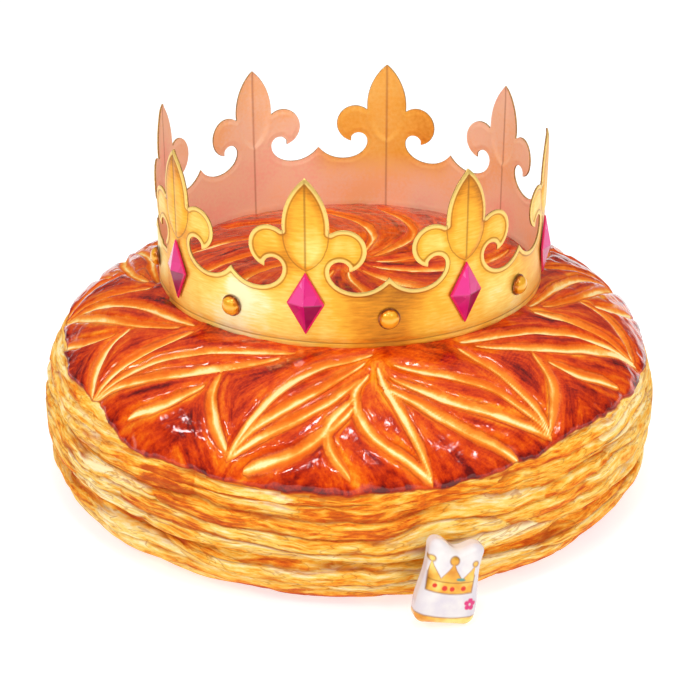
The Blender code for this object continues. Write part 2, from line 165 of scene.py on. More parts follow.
for name, place, width, watts in LAMPS + DIFFUSERS:
    light = bpy.data.lights.new(name, "AREA")
    light.shape = "SQUARE"
    light.size = width
    light.energy = watts
    light.color = linear(KEY_TINT if name == "key_light" else "#ffffff")[:3]
    box = bpy.data.objects.new(name, light)
    box.location = place
    box.rotation_euler = (LIGHTS_AIM - Vector(place)).to_track_quat("-Z", "Y").to_euler()
    box.visible_glossy = (name, place, width, watts) in LAMPS
    scene.collection.objects.link(box)

world = bpy.data.worlds.new("studio")  # dim at eye level, brighter overhead
world.use_nodes = True
sky = add_node(world.node_tree, "TexCoord", out="Generated")
sky_height = add_node(world.node_tree, "SeparateXYZ", (sky,), out=2)
sky_light = add_node(world.node_tree, "MapRange", (sky_height, 0.3, 0.95, 0.13, 0.4))
fill_in(world.node_tree.nodes["Background"], {"Color": "#fffdfa", "Strength": sky_light})
scene.world = world
scene.view_settings.view_transform = "Standard"


# %% Reading, moving and painting a piece's points
def points_of(piece):
    """The piece's vertices, in millimetres."""
    flat = np.empty(3 * len(piece.data.vertices), np.float32)
    piece.data.vertices.foreach_get("co", flat)
    return flat.reshape(-1, 3).astype(float) / MM


def move_points(piece, points):
    """Gives the piece's vertices new places, in millimetres."""
    piece.data.vertices.foreach_set("co", (points * MM).astype(np.float32).ravel())
    piece.data.update()


def paint(piece, name, values):
    """Keeps one number or one vector for each vertex, which a material reads by its name."""
    values = np.asarray(values, np.float32)
    kind, field = ("FLOAT", "value") if values.ndim == 1 else ("FLOAT_VECTOR", "vector")
    layer = piece.data.attributes.new(name, kind, "POINT")
    layer.data.foreach_set(field, values.ravel())


print("the CAD pie has", len(points_of(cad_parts["galette"])), "points")


# %% Soft steps, blotches and curves
def smooth_step(x):
    """From 0 to 1 as x does, with a soft start and a soft end."""
    x = np.clip(x, 0.0, 1.0)
    return x * x * (3.0 - 2.0 * x)


DICE = np.array((127.1, 311.7, 74.7))  # with THROW, these make each cell's number look like chance
THROW = 43758.5453


def mottle(points, size, seed=0):
    """Smooth blotches from -1 to 1 that are about size across, the same at each run."""
    cells = np.floor(points / size)
    share = smooth_step(points / size - cells)
    total = np.zeros(len(points))
    for corner in itertools.product((0, 1), repeat=points.shape[1]):
        mixed = np.sin((cells + corner) @ DICE[: points.shape[1]] + 19.19 * seed) * THROW
        total += (mixed - np.floor(mixed)) * np.prod(np.where(corner, share, 1.0 - share), axis=1)
    return 2.0 * total - 1.0


def smooth_curve(knots, steps):
    """A Catmull-Rom curve of steps + 1 points through the knots."""
    knots = np.array([knots[0], *knots, knots[-1]], dtype=float)
    spans = len(knots) - 3
    t = np.linspace(0.0, spans, steps + 1)
    i = np.minimum(t.astype(int), spans - 1)
    a, b, c, d = (knots[i + k] for k in range(4))
    u = (t - i)[:, None]
    third = 3 * b - a - 3 * c + d
    return 0.5 * (2 * b + (c - a) * u + (2 * a - 5 * b + 4 * c - d) * u**2 + third * u**3)


print("a soft step from 0 to 1:", smooth_step(np.linspace(0.0, 1.0, 5)).round(2))


# %% Handing a finished piece over
def hand_over(piece, slot, *nodes):
    """The piece rides on the part's one body and stands for its solids; its slot is not used."""
    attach(piece, "root")
    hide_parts(*nodes)
    triangles = sum(len(face.vertices) - 2 for face in piece.data.polygons)
    print(f"{piece.name}: {triangles} triangles, stands for {', '.join(nodes)}")


# %% [markdown]
# ## The lid's plan: a dome and its scored leaves
#
# Before baking, the baker draws a knife's tip through the top layers only. In the oven the cuts
# open and show pale, dry layers, and the dough between them puffs into leaves. The solids were
# made with these curves, so the same named sizes are used here: a dome that falls steeply at
# its shoulder, and cuts given as points in angle and radius with a smooth curve through them.

# %% The sizes of the pie
BASE_RADIUS = 113.0
LID_RADIUS = 125.7
LID_EDGE_HEIGHT = 48.5
DOME_HEIGHT = 89.0
DOME_ROUND = 3.2
DOME_SHOULDER = 0.57
CUT_HALF_WIDTH = 1.9
CUT_END = 0.25  # a cut's width where the blade goes in and comes out, as a share of its middle
LEAF_RISE = 1.1  # how far the dough swells between two cuts
LEAF_REACH = 7.0  # how far from a cut it is highest


def dome_height(radius):
    """How high the lid is at a distance from its middle."""
    share = np.clip(radius / LID_RADIUS, 0.0, 1.0)
    return LID_EDGE_HEIGHT + (DOME_HEIGHT - LID_EDGE_HEIGHT) * (1.0 - share**DOME_ROUND) ** DOME_SHOULDER


low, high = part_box("galette")
print("the pie is", [round((b - a) / MM, 1) for a, b in zip(low, high)], "mm")

# %% The cuts of one fan, and where the fans lie
# All angles are in degrees round the pie, counted from its front to the right.
FRONT_ROOT = 6.0  # the leaves sweep away from here on both sides
FRONT_APEXES = (38.0, -21.0)  # where the cuts of the two front fans meet at the edge
BACK_APEX = 170.0  # where the fans of the two sides meet
APEXES_A_SIDE = (4, 5)  # the fans behind the front ones, on the right and on the left
ROOT_LEAD = 6.0  # a fan's root lies this far in front of the last fan's apex
# Each cut of a fan, as (share of the way from root to apex, radius) pairs.
CROWN_CUT = ((0.0, 80.0), (0.28, 83.0), (0.55, 89.0), (0.8, 101.0), (1.0, 122.0))
LONG_CUT = ((0.08, 84.0), (0.33, 92.5), (0.66, 104.5), (0.86, 113.0), (1.0, 122.0))
MIDDLE_CUT = ((0.12, 92.0), (0.36, 102.0), (0.64, 110.5), (1.0, 122.5))
RIM_CUT = ((0.18, 104.0), (0.35, 112.0), (0.58, 119.5), (0.88, 124.0))
SHORT_CUT = ((0.42, 103.0), (0.5, 110.0), (0.6, 115.5), (0.72, 121.0))
FRONT_LEFT_FAN = (CROWN_CUT, LONG_CUT, MIDDLE_CUT, RIM_CUT)
FRONT_RIGHT_FAN = (
    ((0.17, 86.0), (0.44, 93.0), (0.66, 99.5), (0.81, 106.5), (1.0, 122.0)),
    MIDDLE_CUT,
    ((0.06, 97.0), (0.25, 104.5), (0.5, 116.0), (0.75, 124.5)),
)
SIDE_FAN = (CROWN_CUT, LONG_CUT, SHORT_CUT)
# Cuts as (angle, radius) pairs. The angles count from the front root, and for the last two from
# the apex where the cut ends.
FRONT_DROPS = (
    ((-5.0, 101.0), (-9.5, 110.0), (-9.5, 117.0), (-6.0, 124.5)),
    ((-1.5, 90.0), (-5.0, 100.0), (-2.0, 114.0), (8.0, 124.5)),
    ((1.0, 87.0), (2.5, 99.0), (5.5, 113.0), (8.0, 124.5)),
)
NEAR_CUT = ((-8.0, 83.0), (-4.5, 95.0), (-1.5, 108.0), (0.0, 121.0))
FAR_CUT = ((9.0, 97.0), (7.5, 107.0), (4.5, 114.5), (0.5, 121.0))
SWIRLS = 12  # the curved cuts in the middle of the lid, inside the crown's ring
SWIRL_TURN = 48.0
SWIRL_RADII = (12.0, 72.0)
print("the fans have", len(FRONT_LEFT_FAN), len(FRONT_RIGHT_FAN), "and", len(SIDE_FAN), "long cuts")


# %% All the cuts
def between(root, apex, cut):
    """A cut of a fan as (angle, radius) points, for the fan that goes from root to apex."""
    return [(root + share * (apex - root), radius) for share, radius in cut]


def score_lines():
    """Every cut of the lid as a list of (angle, radius) points."""
    lines = []
    for fan, apex in zip((FRONT_RIGHT_FAN, FRONT_LEFT_FAN), FRONT_APEXES):
        lines += [between(FRONT_ROOT, apex, cut) for cut in fan]
    lines += [[(FRONT_ROOT + a, r) for a, r in drop] for drop in FRONT_DROPS]
    for side, first, count in zip((1, -1), FRONT_APEXES, APEXES_A_SIDE):
        back = BACK_APEX if side > 0 else BACK_APEX - 360.0
        apexes = [first + (back - first) * i / count for i in range(count + 1)]
        for own, apex in zip(apexes, apexes[1:]):
            lines += [between(own - side * ROOT_LEAD, apex, cut) for cut in SIDE_FAN]
            lines.append([(own + side * a, r) for a, r in FAR_CUT])
            if own != FRONT_APEXES[1]:
                lines.append([(own + side * a, r) for a, r in NEAR_CUT])
    inner, outer = SWIRL_RADII
    for i in range(SWIRLS):
        start = 360.0 * i / SWIRLS
        curve = [(start + SWIRL_TURN * s**1.3, inner + (outer - inner) * s) for s in (0.0, 0.3, 0.6, 1.0)]
        lines.append(curve)
    return lines


print(len(score_lines()), "cuts, each given by four or five points")

# %% The cuts as curves in plan
CURVE_STEPS = 20


def plan_curve(line):
    angle, radius = smooth_curve(line, CURVE_STEPS).T
    angle = np.radians(angle)
    return np.stack([radius * np.sin(angle), -radius * np.cos(angle)], axis=1)


cuts = [plan_curve(line) for line in score_lines()]
taper = CUT_END + (1.0 - CUT_END) * np.sin(np.pi * np.linspace(0.0, 1.0, CURVE_STEPS + 1)) ** 0.6
print(len(cuts), "cuts of", CURVE_STEPS, "steps each")


# %% How far each point is from a cut
def near_cuts(plan, reach):
    """For each point: the way to it from the nearest cut, how far that is, half the cut's width,
    and which cut it is, or -1 where none is within reach."""
    away, half_width = np.full(len(plan), reach), np.full(len(plan), CUT_HALF_WIDTH)
    offset, nearest = np.zeros((len(plan), 2)), np.full(len(plan), -1)
    for number, curve in enumerate(cuts):
        low, high = curve.min(axis=0) - reach, curve.max(axis=0) + reach
        close = np.nonzero(((plan > low) & (plan < high)).all(axis=1))[0]
        points = plan[close]
        for i in range(CURVE_STEPS):
            along = curve[i + 1] - curve[i]
            t = np.clip(((points - curve[i]) @ along) / (along @ along), 0.0, 1.0)
            way = points - curve[i] - t[:, None] * along
            gap = np.linalg.norm(way, axis=1)
            nearer = gap < away[close]
            own = close[nearer]
            away[own], offset[own], nearest[own] = gap[nearer], way[nearer], number
            half_width[own] = CUT_HALF_WIDTH * (taper[i] + t[nearer] * (taper[i + 1] - taper[i]))
    return offset, away, half_width, nearest


print("a cut opens", CUT_HALF_WIDTH * taper.min() * 2.0, "to", CUT_HALF_WIDTH * taper.max() * 2.0, "mm wide")

# %% [markdown]
# ## Flakes
#
# Where the dough was cut through, its buttered layers bake into flakes: long thin lenses that
# lie over one another. Each is painted paler on its crown and darker where it dives under the
# next, as painted light and shade from above. They are scattered here in staggered rows, each a
# little out of place, and a point belongs to the flake whose middle is nearest, as cells in a
# pavement do. A large family is laid first and a thin one over it, on everything that the egg
# wash hasn't reached.

# %% The side's profile and the sizes of its flakes
PIE_RADIUS = 130.0
SIDE_WAVE = 0.9  # how far the wall wanders in and out
SEAM_HEIGHT = 20.6  # where the two rounds of dough meet
SIDE_PROFILE = (  # radius, height, and how far the layer wanders up and down
    (BASE_RADIUS, 0.0, 0.0),
    (120.8, 3.6, 0.2),
    (125.9, 10.0, 0.8),
    (127.4, 16.5, 1.3),
    (124.8, 20.6, 2.0),
    (128.6, 24.6, 1.6),
    (PIE_RADIUS - SIDE_WAVE, 31.0, 0.8),
    (128.7, 37.6, 0.8),
    (126.2, 42.0, 1.0),
    (127.2, 45.6, 0.5),
)
UNDER_LID = ((124.0, 47.2, 0.4), (117.0, 46.6, 0.0), (108.0, 46.2, 0.0))
FLAKE_A = (52.0, 6.4)  # length and thickness of the large family
FLAKE_B = (27.0, 3.1)  # and of the thin one
ROW_NAMES = 97.0  # more than the flakes in any row, so that each flake has a number of its own
FLAKE_DICE = (12.99, 78.23)  # for a flake's shift along and its shift up, as DICE is for cells
print("flakes are", FLAKE_A, "and", FLAKE_B, "mm")


# %% Scatter the flakes
def flakes(turn, climb, size, seed):
    """How far inside its flake a point is, how high up in it, and the flake's own number.

    turn is the angle round the pie and climb the way up the wall from its foot, in mm.
    """
    length, thickness = size
    a_row = round(2.0 * math.pi * PIE_RADIUS / length)
    along, up = turn / (2.0 * math.pi) * a_row, climb / thickness
    nearest, second = np.full((2, len(turn)), 9.0)
    inside, number = np.zeros((2, len(turn)))
    for step_up, step_along in itertools.product((-1, 0, 1), repeat=2):
        row = np.floor(up) + step_up
        column = np.floor(along - 0.5 * (row % 2)) + step_along
        name = row * ROW_NAMES + column % a_row
        dice = np.sin(np.outer(FLAKE_DICE, name + seed)) * THROW
        dice -= np.floor(dice) + 0.5
        dx = along - 0.5 * (row % 2) - column - 0.5 - 0.7 * dice[0]
        dy = up - row - 0.5 - 0.45 * dice[1]
        gap = np.hypot(dx, dy)
        closer = gap < nearest
        second = np.where(closer, nearest, np.minimum(second, gap))
        nearest = np.where(closer, gap, nearest)
        inside, number = np.where(closer, dy, inside), np.where(closer, name, number)
    return second - nearest, inside, number


trial = flakes(np.linspace(-math.pi, math.pi, 2000), np.full(2000, 30.0), FLAKE_A, 31.0)[2]
print("a walk round the pie crosses", len(set(trial)), "large flakes")


# %% Lay the two families over each other
def lay_flakes(turn, climb):
    """The relief of the flakes in mm, and the numbers that their material reads."""
    ring = np.column_stack([np.sin(turn) * PIE_RADIUS, -np.cos(turn) * PIE_RADIUS, climb])
    bend = 3.6 * mottle(ring * (1.0, 1.0, 0.8), 40.0, 21)
    bend = bend + 1.5 * mottle(ring, 15.0, 22) + 0.4 * mottle(ring, 5.0, 23)
    gap_a, part_a, number_a = flakes(turn, climb + bend, FLAKE_A, 31.0)
    gap_b, part_b, number_b = flakes(turn, climb + 1.3 * bend, FLAKE_B, 47.0)
    shown_b = smooth_step(0.55 + 1.3 * mottle(ring, 24.0, 41))
    relief = 1.7 * np.sqrt(1.0 - np.exp(-2.2 * gap_a)) - 0.7 * part_a
    relief += shown_b * (0.75 * np.sqrt(1.0 - np.exp(-2.5 * gap_b)) - 0.3 * part_b)
    relief += 0.35 * mottle(ring, 14.0, 42) + 0.12 * mottle(ring, 3.5, 43) - 1.5
    # Each flake has a shade of its own. The wall is darker at its upper front and at its foot on
    # the right.
    toast_and_shade = 0.52 + 0.15 * np.sin(number_a * 2.4) + 0.1 * shown_b * np.sin(number_b * 5.1)
    toast_and_shade += 0.04 + 0.08 * np.abs(np.sin(turn)) + 0.04 * np.sin(turn)
    at_front = np.exp(-((turn / 0.6) ** 2))
    low_right = np.exp(-(((turn - 0.8) / 0.4) ** 2)) * (1.0 - smooth_step((climb - 20.0) / 14.0))
    toast_and_shade += at_front * (0.12 - 0.33 * smooth_step((climb - 36.0) / 10.0)) - 0.18 * low_right
    # Painted light and shade: each flake is paler at its top and darker at its bottom.
    toast_and_shade += 0.34 * part_a + 0.18 * shown_b * part_b
    toast_and_shade += 0.12 * mottle(ring, 30.0, 45) + 0.08 * mottle(ring, 8.0, 46)
    # Painted shade, partly the layers' browned edges: the gap between two flakes is dark only here
    # and there, and only along their long sides.
    gap_shade_a = 0.4 + 0.6 * smooth_step(0.5 + 0.9 * mottle(ring, 17.0, 47))
    gap_shade_b = shown_b * (0.3 + 0.6 * smooth_step(0.5 + 0.9 * mottle(ring, 11.0, 48)))
    painted = {
        "gap_a": gap_a * 0.5 * FLAKE_A[1],
        "gap_b": gap_b * 0.5 * FLAKE_B[1],
        "gap_shade_a": gap_shade_a * smooth_step(4.0 * np.abs(part_a) - 0.4),
        "gap_shade_b": gap_shade_b * smooth_step(4.0 * np.abs(part_b) - 0.4),
        "paleness": np.clip(toast_and_shade, 0.0, 1.0),
        "along_flakes": np.column_stack([ring[:, :2], 6.0 * (climb + bend)]) * MM,
    }
    return relief, painted


print("the relief of one point is", lay_flakes(np.zeros(1), np.full(1, 30.0))[0].round(2), "mm")


# %% How long the wall is
def length_along(line):
    """How far along the line each of its points lies."""
    return np.concatenate([[0.0], np.cumsum(np.linalg.norm(np.diff(line, axis=0), axis=1))])


WALL_LENGTH = length_along(smooth_curve(SIDE_PROFILE, 400)[:, :2])[-1]
print("the wall is", round(WALL_LENGTH, 1), "mm long, from base to lid")

# %% [markdown]
# ## The lid as a skin of fine dough
#
# The lid needs points close enough together for the cuts and blisters to be real relief. A
# plain circle crowds its points in the middle, so a square grid is taken instead and pressed
# into a disc, ring by ring, which keeps its cells nearly even. It is then laid over the dome
# like dough over a filling, with a small rolled lip, and its points are moved: the leaves swell,
# the cuts sink, and blisters of different sizes rise under the glaze. The egg wash stops short
# of the edge, because egg that ran down would glue the layers together, so the lid ends in a
# bare border with the same flakes as the side.

# %% Add the grid and press it into a disc
LID_GRID = 310  # cells on each side of the square

bpy.ops.object.select_all(action="DESELECT")
bpy.ops.mesh.primitive_grid_add(x_subdivisions=LID_GRID, y_subdivisions=LID_GRID, size=2.0)
lid = bpy.context.object
lid.name = "galette_lid"
across, up = points_of(lid)[:, :2].T * MM
wide = np.abs(across) > np.abs(up)
reach = np.where(wide, across, up)
safe = np.where(reach == 0.0, 1.0, reach)
turn = np.where(wide, 0.25 * np.pi * up / safe, 0.5 * np.pi - 0.25 * np.pi * across / safe)
ring = np.abs(reach)
spoke = np.stack([np.cos(turn), np.sin(turn)], axis=1) * np.sign(safe)[:, None]
print("the lid's grid has", len(ring), "points")

# %% Lay it over the dome and roll its edge
LIP = (  # from the lid's edge: outwards, and up
    (0.0, 0.0), (0.7, -0.9), (0.9, -2.0), (0.5, -2.9), (-0.8, -3.3), (-3.5, -3.2), (-8.0, -3.0),
)
DOME_STEPS = 4000

inner_ring = np.linspace(0.0, LID_RADIUS, DOME_STEPS)
lip = smooth_curve(LIP, 60)[1:] + (LID_RADIUS, LID_EDGE_HEIGHT)
profile = np.concatenate([np.stack([inner_ring, dome_height(inner_ring)], axis=1), lip])
run = length_along(profile)
from_middle = ring * run[-1]
lid_radius, lid_height = (np.interp(from_middle, run, side) for side in profile.T)
slope = np.gradient(profile, axis=0)
slope /= np.linalg.norm(slope, axis=1)[:, None]
out_r, out_z = (np.interp(from_middle, run, side) for side in (-slope[:, 1], slope[:, 0]))
plan = spoke * lid_radius[:, None]
from_edge = run[DOME_STEPS - 1] - from_middle
on_top = smooth_step(from_edge / 4.0)
print("the lid's profile is", round(run[-1], 1), "mm long from its middle to the end of its lip")

# %% Where the egg wash stops
GLAZE_LINE = (  # degrees round the pie, and millimetres up the lid's shoulder from its edge
    (-180, 8), (-140, 9), (-100, 15), (-81, 16.8), (-66, 13.2), (-53, 13), (-47, 8.5), (-40, 3.6),
    (-25, 2.8), (-10, 1.4), (0, 1.0), (15, 2.2), (25, 4.2), (36, 5.3), (44, 9.2), (53, 8.6),
    (64, 6), (76, 7.5), (84, 10), (110, 12), (150, 9), (180, 8),
)

lid_turn = np.arctan2(plan[:, 0], -plan[:, 1])
glaze_gap = from_edge - np.interp(np.degrees(lid_turn), *zip(*GLAZE_LINE))
glaze_gap += 0.9 * mottle(plan, 7.0, 51) + 0.45 * mottle(plan, 2.8, 52)
print("the glaze stops at most", max(up for _, up in GLAZE_LINE), "mm above the lid's edge")

# %% Make the leaves, the cuts and the blisters
REACH = 9.0  # beyond this a point belongs to no cut

wander = np.stack([mottle(plan, 9.0, 1), mottle(plan, 9.0, 2)], axis=1) * 0.55
cut_offset, away, half_width, nearest_cut = near_cuts(plan + wander, REACH)
share = away / half_width
place = np.column_stack([plan, lid_height])
swell = LEAF_RISE * np.sin(0.5 * np.pi * np.clip(away / LEAF_REACH, 0.0, 1.0))
trench = 0.65 * half_width * np.exp(-((away / 1.7) ** 2))
lips = 0.15 * half_width * np.exp(-(((away - 3.2) / 1.3) ** 2))
blisters = 0.34 * mottle(place, 11.0, 4) + 0.26 * mottle(place, 5.0, 5) + 0.15 * mottle(place, 2.6, 6)
blisters *= smooth_step(share - 0.8) * (1.0 + 0.5 * np.exp(-((glaze_gap / 10.0) ** 2)))
glazed = smooth_step(0.5 + glaze_gap / 1.2)
flake_relief, flake_paint = lay_flakes(lid_turn, WALL_LENGTH + from_edge)
relief = glazed * (on_top * (swell - trench + lips) + blisters * (0.35 + 0.65 * on_top) + 0.3)
relief += (1.0 - glazed) * (0.75 * flake_relief + 0.2)
lid_points = np.column_stack([plan + spoke * (out_r * relief)[:, None], lid_height + out_z * relief])
print("the lid rises", round(relief.max(), 2), "mm and sinks", round(relief.min(), 2), "mm from its dome")


# %% Let the lid's edge wave a little, as cut dough does
def edge_wave(angle):
    """How far the lid's edge lies in or out, and up or down, round the pie."""
    inwards = 0.35 * np.sin(5.0 * angle + 0.4) + 0.3 * np.sin(13.0 * angle + 1.1)
    upwards = 0.5 * np.sin(4.0 * angle + 2.0) + 0.4 * np.sin(11.0 * angle)
    return inwards, upwards


at_edge = smooth_step((lid_radius - 117.0) / 8.0) * np.clip(from_middle > 60.0, 0, 1)
inwards, upwards = edge_wave(np.arctan2(plan[:, 1], plan[:, 0]))
lid_points[:, :2] -= spoke * (at_edge * inwards)[:, None]
lid_points[:, 2] += at_edge * upwards
move_points(lid, lid_points)

bpy.ops.object.mode_set(mode="EDIT")
bpy.ops.mesh.select_all(action="DESELECT")
bpy.ops.mesh.select_non_manifold()
bpy.ops.mesh.edge_face_add()
bpy.ops.mesh.select_all(action="SELECT")
bpy.ops.mesh.normals_make_consistent(inside=False)
bpy.ops.object.mode_set(mode="OBJECT")
bpy.ops.object.shade_smooth()
print("closed lid:", len(lid.data.polygons), "faces")

# %% [markdown]
# ## Streaks in the glaze
#
# Egg wash is brushed on and gathers along the leaves, and it browns in streaks that follow them.
# The direction of the nearest cuts is spread over the whole lid, and small specks are then
# smeared along that direction, as a brush would smear them. What is left is kept on the mesh as
# a number for each point. Finer hairs than the mesh can hold are drawn by the material: six
# combs, each turned by a sixth of a half turn from the last, draw straight hairs, and each point
# is told how much it takes from each comb, so that the hairs seem to follow the brush.

# %% The direction of the brush
CELL = 2.5
CHUNK = 2000  # cells at a time, to spare the memory

cells = np.arange(-LID_RADIUS - CELL, LID_RADIUS + 2.0 * CELL, CELL)
grid = np.stack(np.meshgrid(cells, cells, indexing="ij"), axis=-1).reshape(-1, 2)
middles = np.concatenate([0.5 * (curve[1:] + curve[:-1]) for curve in cuts])
steps = np.concatenate([np.diff(curve, axis=0) for curve in cuts])
double = 2.0 * np.arctan2(steps[:, 1], steps[:, 0])
brush = np.zeros((len(grid), 2))
for start in range(0, len(grid), CHUNK):
    gap = ((grid[start : start + CHUNK, None] - middles) ** 2).sum(axis=2)
    weight = np.linalg.norm(steps, axis=1) / (gap + 3.0) ** 2
    brush[start : start + CHUNK] = weight @ np.stack([np.cos(double), np.sin(double)], axis=1)
theta = 0.5 * np.arctan2(brush[:, 1], brush[:, 0])
brush = np.stack([np.cos(theta), np.sin(theta)], axis=1).reshape(len(cells), len(cells), 2)
print("brush directions on a grid of", brush.shape[:2])


# %% Smear specks along it
def smeared(plan, speck, seed, stroke=9.0, step=0.8):
    """Specks drawn out along the brush's direction, centred on 0 with a spread of 1."""
    total = mottle(plan, speck, seed)
    for sign in (1.0, -1.0):
        spot, before = plan.copy(), None
        for _ in range(int(stroke / step)):
            cell = np.clip(((spot - cells[0]) / CELL + 0.5).astype(int), 0, len(cells) - 1)
            heading = brush[cell[:, 0], cell[:, 1]]
            if before is not None:
                heading = heading * np.sign((heading * before).sum(axis=1) + 1e-9)[:, None]
            before = heading
            spot = spot + sign * step * heading
            total += mottle(spot, speck, seed)
    return (total - total.mean()) / total.std()


fine_streaks = smeared(plan, 1.1, 7)
broad_streaks = smeared(plan, 2.6, 8, stroke=12.0)
print("streaks from", round(fine_streaks.min(), 1), "to", round(fine_streaks.max(), 1))

# %% Share the brush's direction among six combs
COMBS = 6

cell = np.clip(((plan - cells[0]) / CELL + 0.5).astype(int), 0, len(cells) - 1)
heading = brush[cell[:, 0], cell[:, 1]]
comb_turn = np.arctan2(heading[:, 1], heading[:, 0]) / np.pi * COMBS
off_comb = [np.abs((comb_turn - k + 0.5 * COMBS) % COMBS - 0.5 * COMBS) for k in range(COMBS)]
combs = np.clip(1.0 - np.stack(off_comb), 0.0, 1.0)
paint(lid, "combs_a", combs[:3].T)
paint(lid, "combs_b", combs[3:].T)
print("each point is combed by", round(float((combs > 0.0).sum(axis=0).mean()), 1), "of", COMBS, "combs")


# %% Paint the lid's numbers
def on_a_border(cells_of):
    """True for each point of a grid cell whose four corners don't all belong to one cut."""
    corners = [
        (slice(i, i - 1 or None), slice(j, j - 1 or None)) for i, j in itertools.product((0, 1), repeat=2)
    ]
    owners = [cells_of[corner] for corner in corners]
    differs = np.minimum.reduce(owners) != np.maximum.reduce(owners)
    border = np.zeros(cells_of.shape, bool)
    for corner in corners:
        border[corner] |= differs
    return border.ravel()


patches = mottle(place, 13.0, 9) + 0.6 * mottle(place, 6.0, 10)
browning = 0.5 + 0.1 * fine_streaks + 0.08 * broad_streaks + 0.1 * patches
browning += 0.27 * smooth_step((away - 2.0) / 3.5) - 0.16
browning += 0.32 * np.exp(-(((glaze_gap - 0.8) / 2.4) ** 2)) * (0.8 + 0.5 * mottle(place, 12.0, 11))
browning += 0.06 * np.exp(-((lid_turn / 0.8) ** 2))
paint(lid, "browning", np.clip(browning, 0.0, 1.0))
paint(lid, "cut_offset", np.column_stack([cut_offset, np.zeros(len(plan))]))
# The way to a cut turns round halfway between two cuts. There the plain distance is kept as well.
halfway = on_a_border(nearest_cut.reshape(LID_GRID + 1, LID_GRID + 1)) | (nearest_cut < 0)
paint(lid, "between_cuts", away * halfway)
paint(lid, "cut_width", half_width)
paint(lid, "brink", smooth_step(0.5 + 0.9 * mottle(place, 12.0, 12)))
paint(lid, "streaks", np.clip(0.5 + 0.2 * smeared(plan, 1.6, 13), 0.0, 1.0))
paint(lid, "glaze_gap", np.clip(glaze_gap, -9.0, 9.0))
for name, values in flake_paint.items():
    paint(lid, name, values)
hand_over(lid, "pastry", "galette")

# %% [markdown]
# ## Egg-washed puff pastry
#
# The real finish is beaten egg baked onto butter dough: a thin clear varnish over a browned,
# mottled crust. It gives sharp highlights over warm colour that runs from orange to red-brown.
# Where the knife has opened the dough there is no egg, so the cut is cream and matt, golden at
# its sides, with a thin dark line where the glaze ends. The distance to the cut is measured in
# the material from what the mesh's points know, so the cut's edge is finer than the mesh.

# %% Dry flakes, for the wall and for the lid's bare border
DRY_BROWNS = (
    (0.0, "#c04802"), (0.18, "#e26a06"), (0.36, "#f69a1e"),
    (0.56, "#fcc048"), (0.76, "#ffd97c"), (1.0, "#ffecb6"),
)


def dry_flakes(tree):
    """The colour and the height of unglazed pastry, from the numbers that lay_flakes painted."""
    along = add_node(tree, "Attribute", out="Vector", attribute_name="along_flakes")
    strand = {"Vector": along, "Scale": every(7.7), "Detail": 6.0, "Roughness": 0.65}
    sheet = {"Vector": along, "Scale": every(22.0), "Detail": 3.0, "Distortion": 0.5}
    strands, sheets = (add_node(tree, "TexNoise", pattern) for pattern in (strand, sheet))
    tone = add_node(tree, "Attribute", out="Fac", attribute_name="paleness")
    # Painted shade: darker in the seam's crease and at the wall's foot.
    painted_deep_shade = add_node(tree, "Attribute", out="Fac", attribute_name="painted_deep_shade")
    for source, low, high, least, most in (
        (strands, 0.3, 0.7, -0.34, 0.34),
        (sheets, 0.3, 0.7, -0.2, 0.2),
        (painted_deep_shade, 0.0, 1.0, 0.0, -0.5),
    ):
        extra = add_node(tree, "MapRange", (source, low, high, least, most))
        tone = add_node(tree, "Math", (tone, extra), operation="ADD")
    crust = add_node(tree, "ValToRGB", (tone,), ramp=DRY_BROWNS)
    vein = add_node(tree, "Math", (sheets, 0.5), operation="SUBTRACT")
    vein = add_node(tree, "Math", (vein,), operation="ABSOLUTE")
    vein = add_node(tree, "MapRange", (vein, 0.004, 0.022, 0.5, 0.0))
    crust = add_node(tree, "Mix", {0: vein, 6: crust, 7: "#b8641c"}, out=2, data_type="RGBA")
    # Painted shade in the gaps between flakes, partly the layers' browned edges.
    for family, width, shade in (("a", 0.9, "#b03e04"), ("b", 0.6, "#c4540a")):
        gap = add_node(tree, "Attribute", out="Fac", attribute_name="gap_" + family)
        dark = add_node(tree, "Attribute", out="Fac", attribute_name="gap_shade_" + family)
        near = add_node(tree, "MapRange", (gap, 0.1, width, 0.85, 0.0))
        near = add_node(tree, "Math", (near, dark), operation="MULTIPLY")
        crust = add_node(tree, "Mix", {0: near, 6: crust, 7: shade}, out=2, data_type="RGBA")
    return crust, tone


print("dry pastry bakes through", len(DRY_BROWNS), "shades, from", DRY_BROWNS[-1][1], "to", DRY_BROWNS[0][1])

# %% The glazed lid's material
# Beaten egg, brushed on and baked: a clear hard skin that gives small sharp highlights over
# warm browns.
EGG_BROWNS = (
    (0.0, "#f89c24"), (0.22, "#ec700c"), (0.42, "#de4e04"), (0.6, "#ca3603"),
    (0.78, "#a62004"), (0.92, "#7e1206"), (1.0, "#600b08"),
)

glazed_pastry, tree, shader = new_material("egg_washed_puff_pastry")
spot = add_node(tree, "TexCoord", out="Object")
browned, glaze_gap, between, width, streaks, brink_here = (
    add_node(tree, "Attribute", out="Fac", attribute_name=name)
    for name in ("browning", "glaze_gap", "between_cuts", "cut_width", "streaks", "brink")
)
crumb = {"Vector": spot, "Scale": every(1.1), "Detail": 5.0, "Roughness": 0.65}
speck = {"Vector": spot, "Scale": every(3.8), "Detail": 4.0, "Roughness": 0.6}
fine, specks = (add_node(tree, "TexNoise", pattern) for pattern in (crumb, speck))
grain = add_node(tree, "Math", (fine, specks), operation="ADD")
grain = add_node(tree, "MapRange", (grain, 0.7, 1.3, -0.13, 0.13))
shares = []
for half in ("combs_a", "combs_b"):
    three = add_node(tree, "Attribute", out="Vector", attribute_name=half)
    shares += add_node(tree, "SeparateXYZ", (three,), out=slice(3))
strokes = 0.0
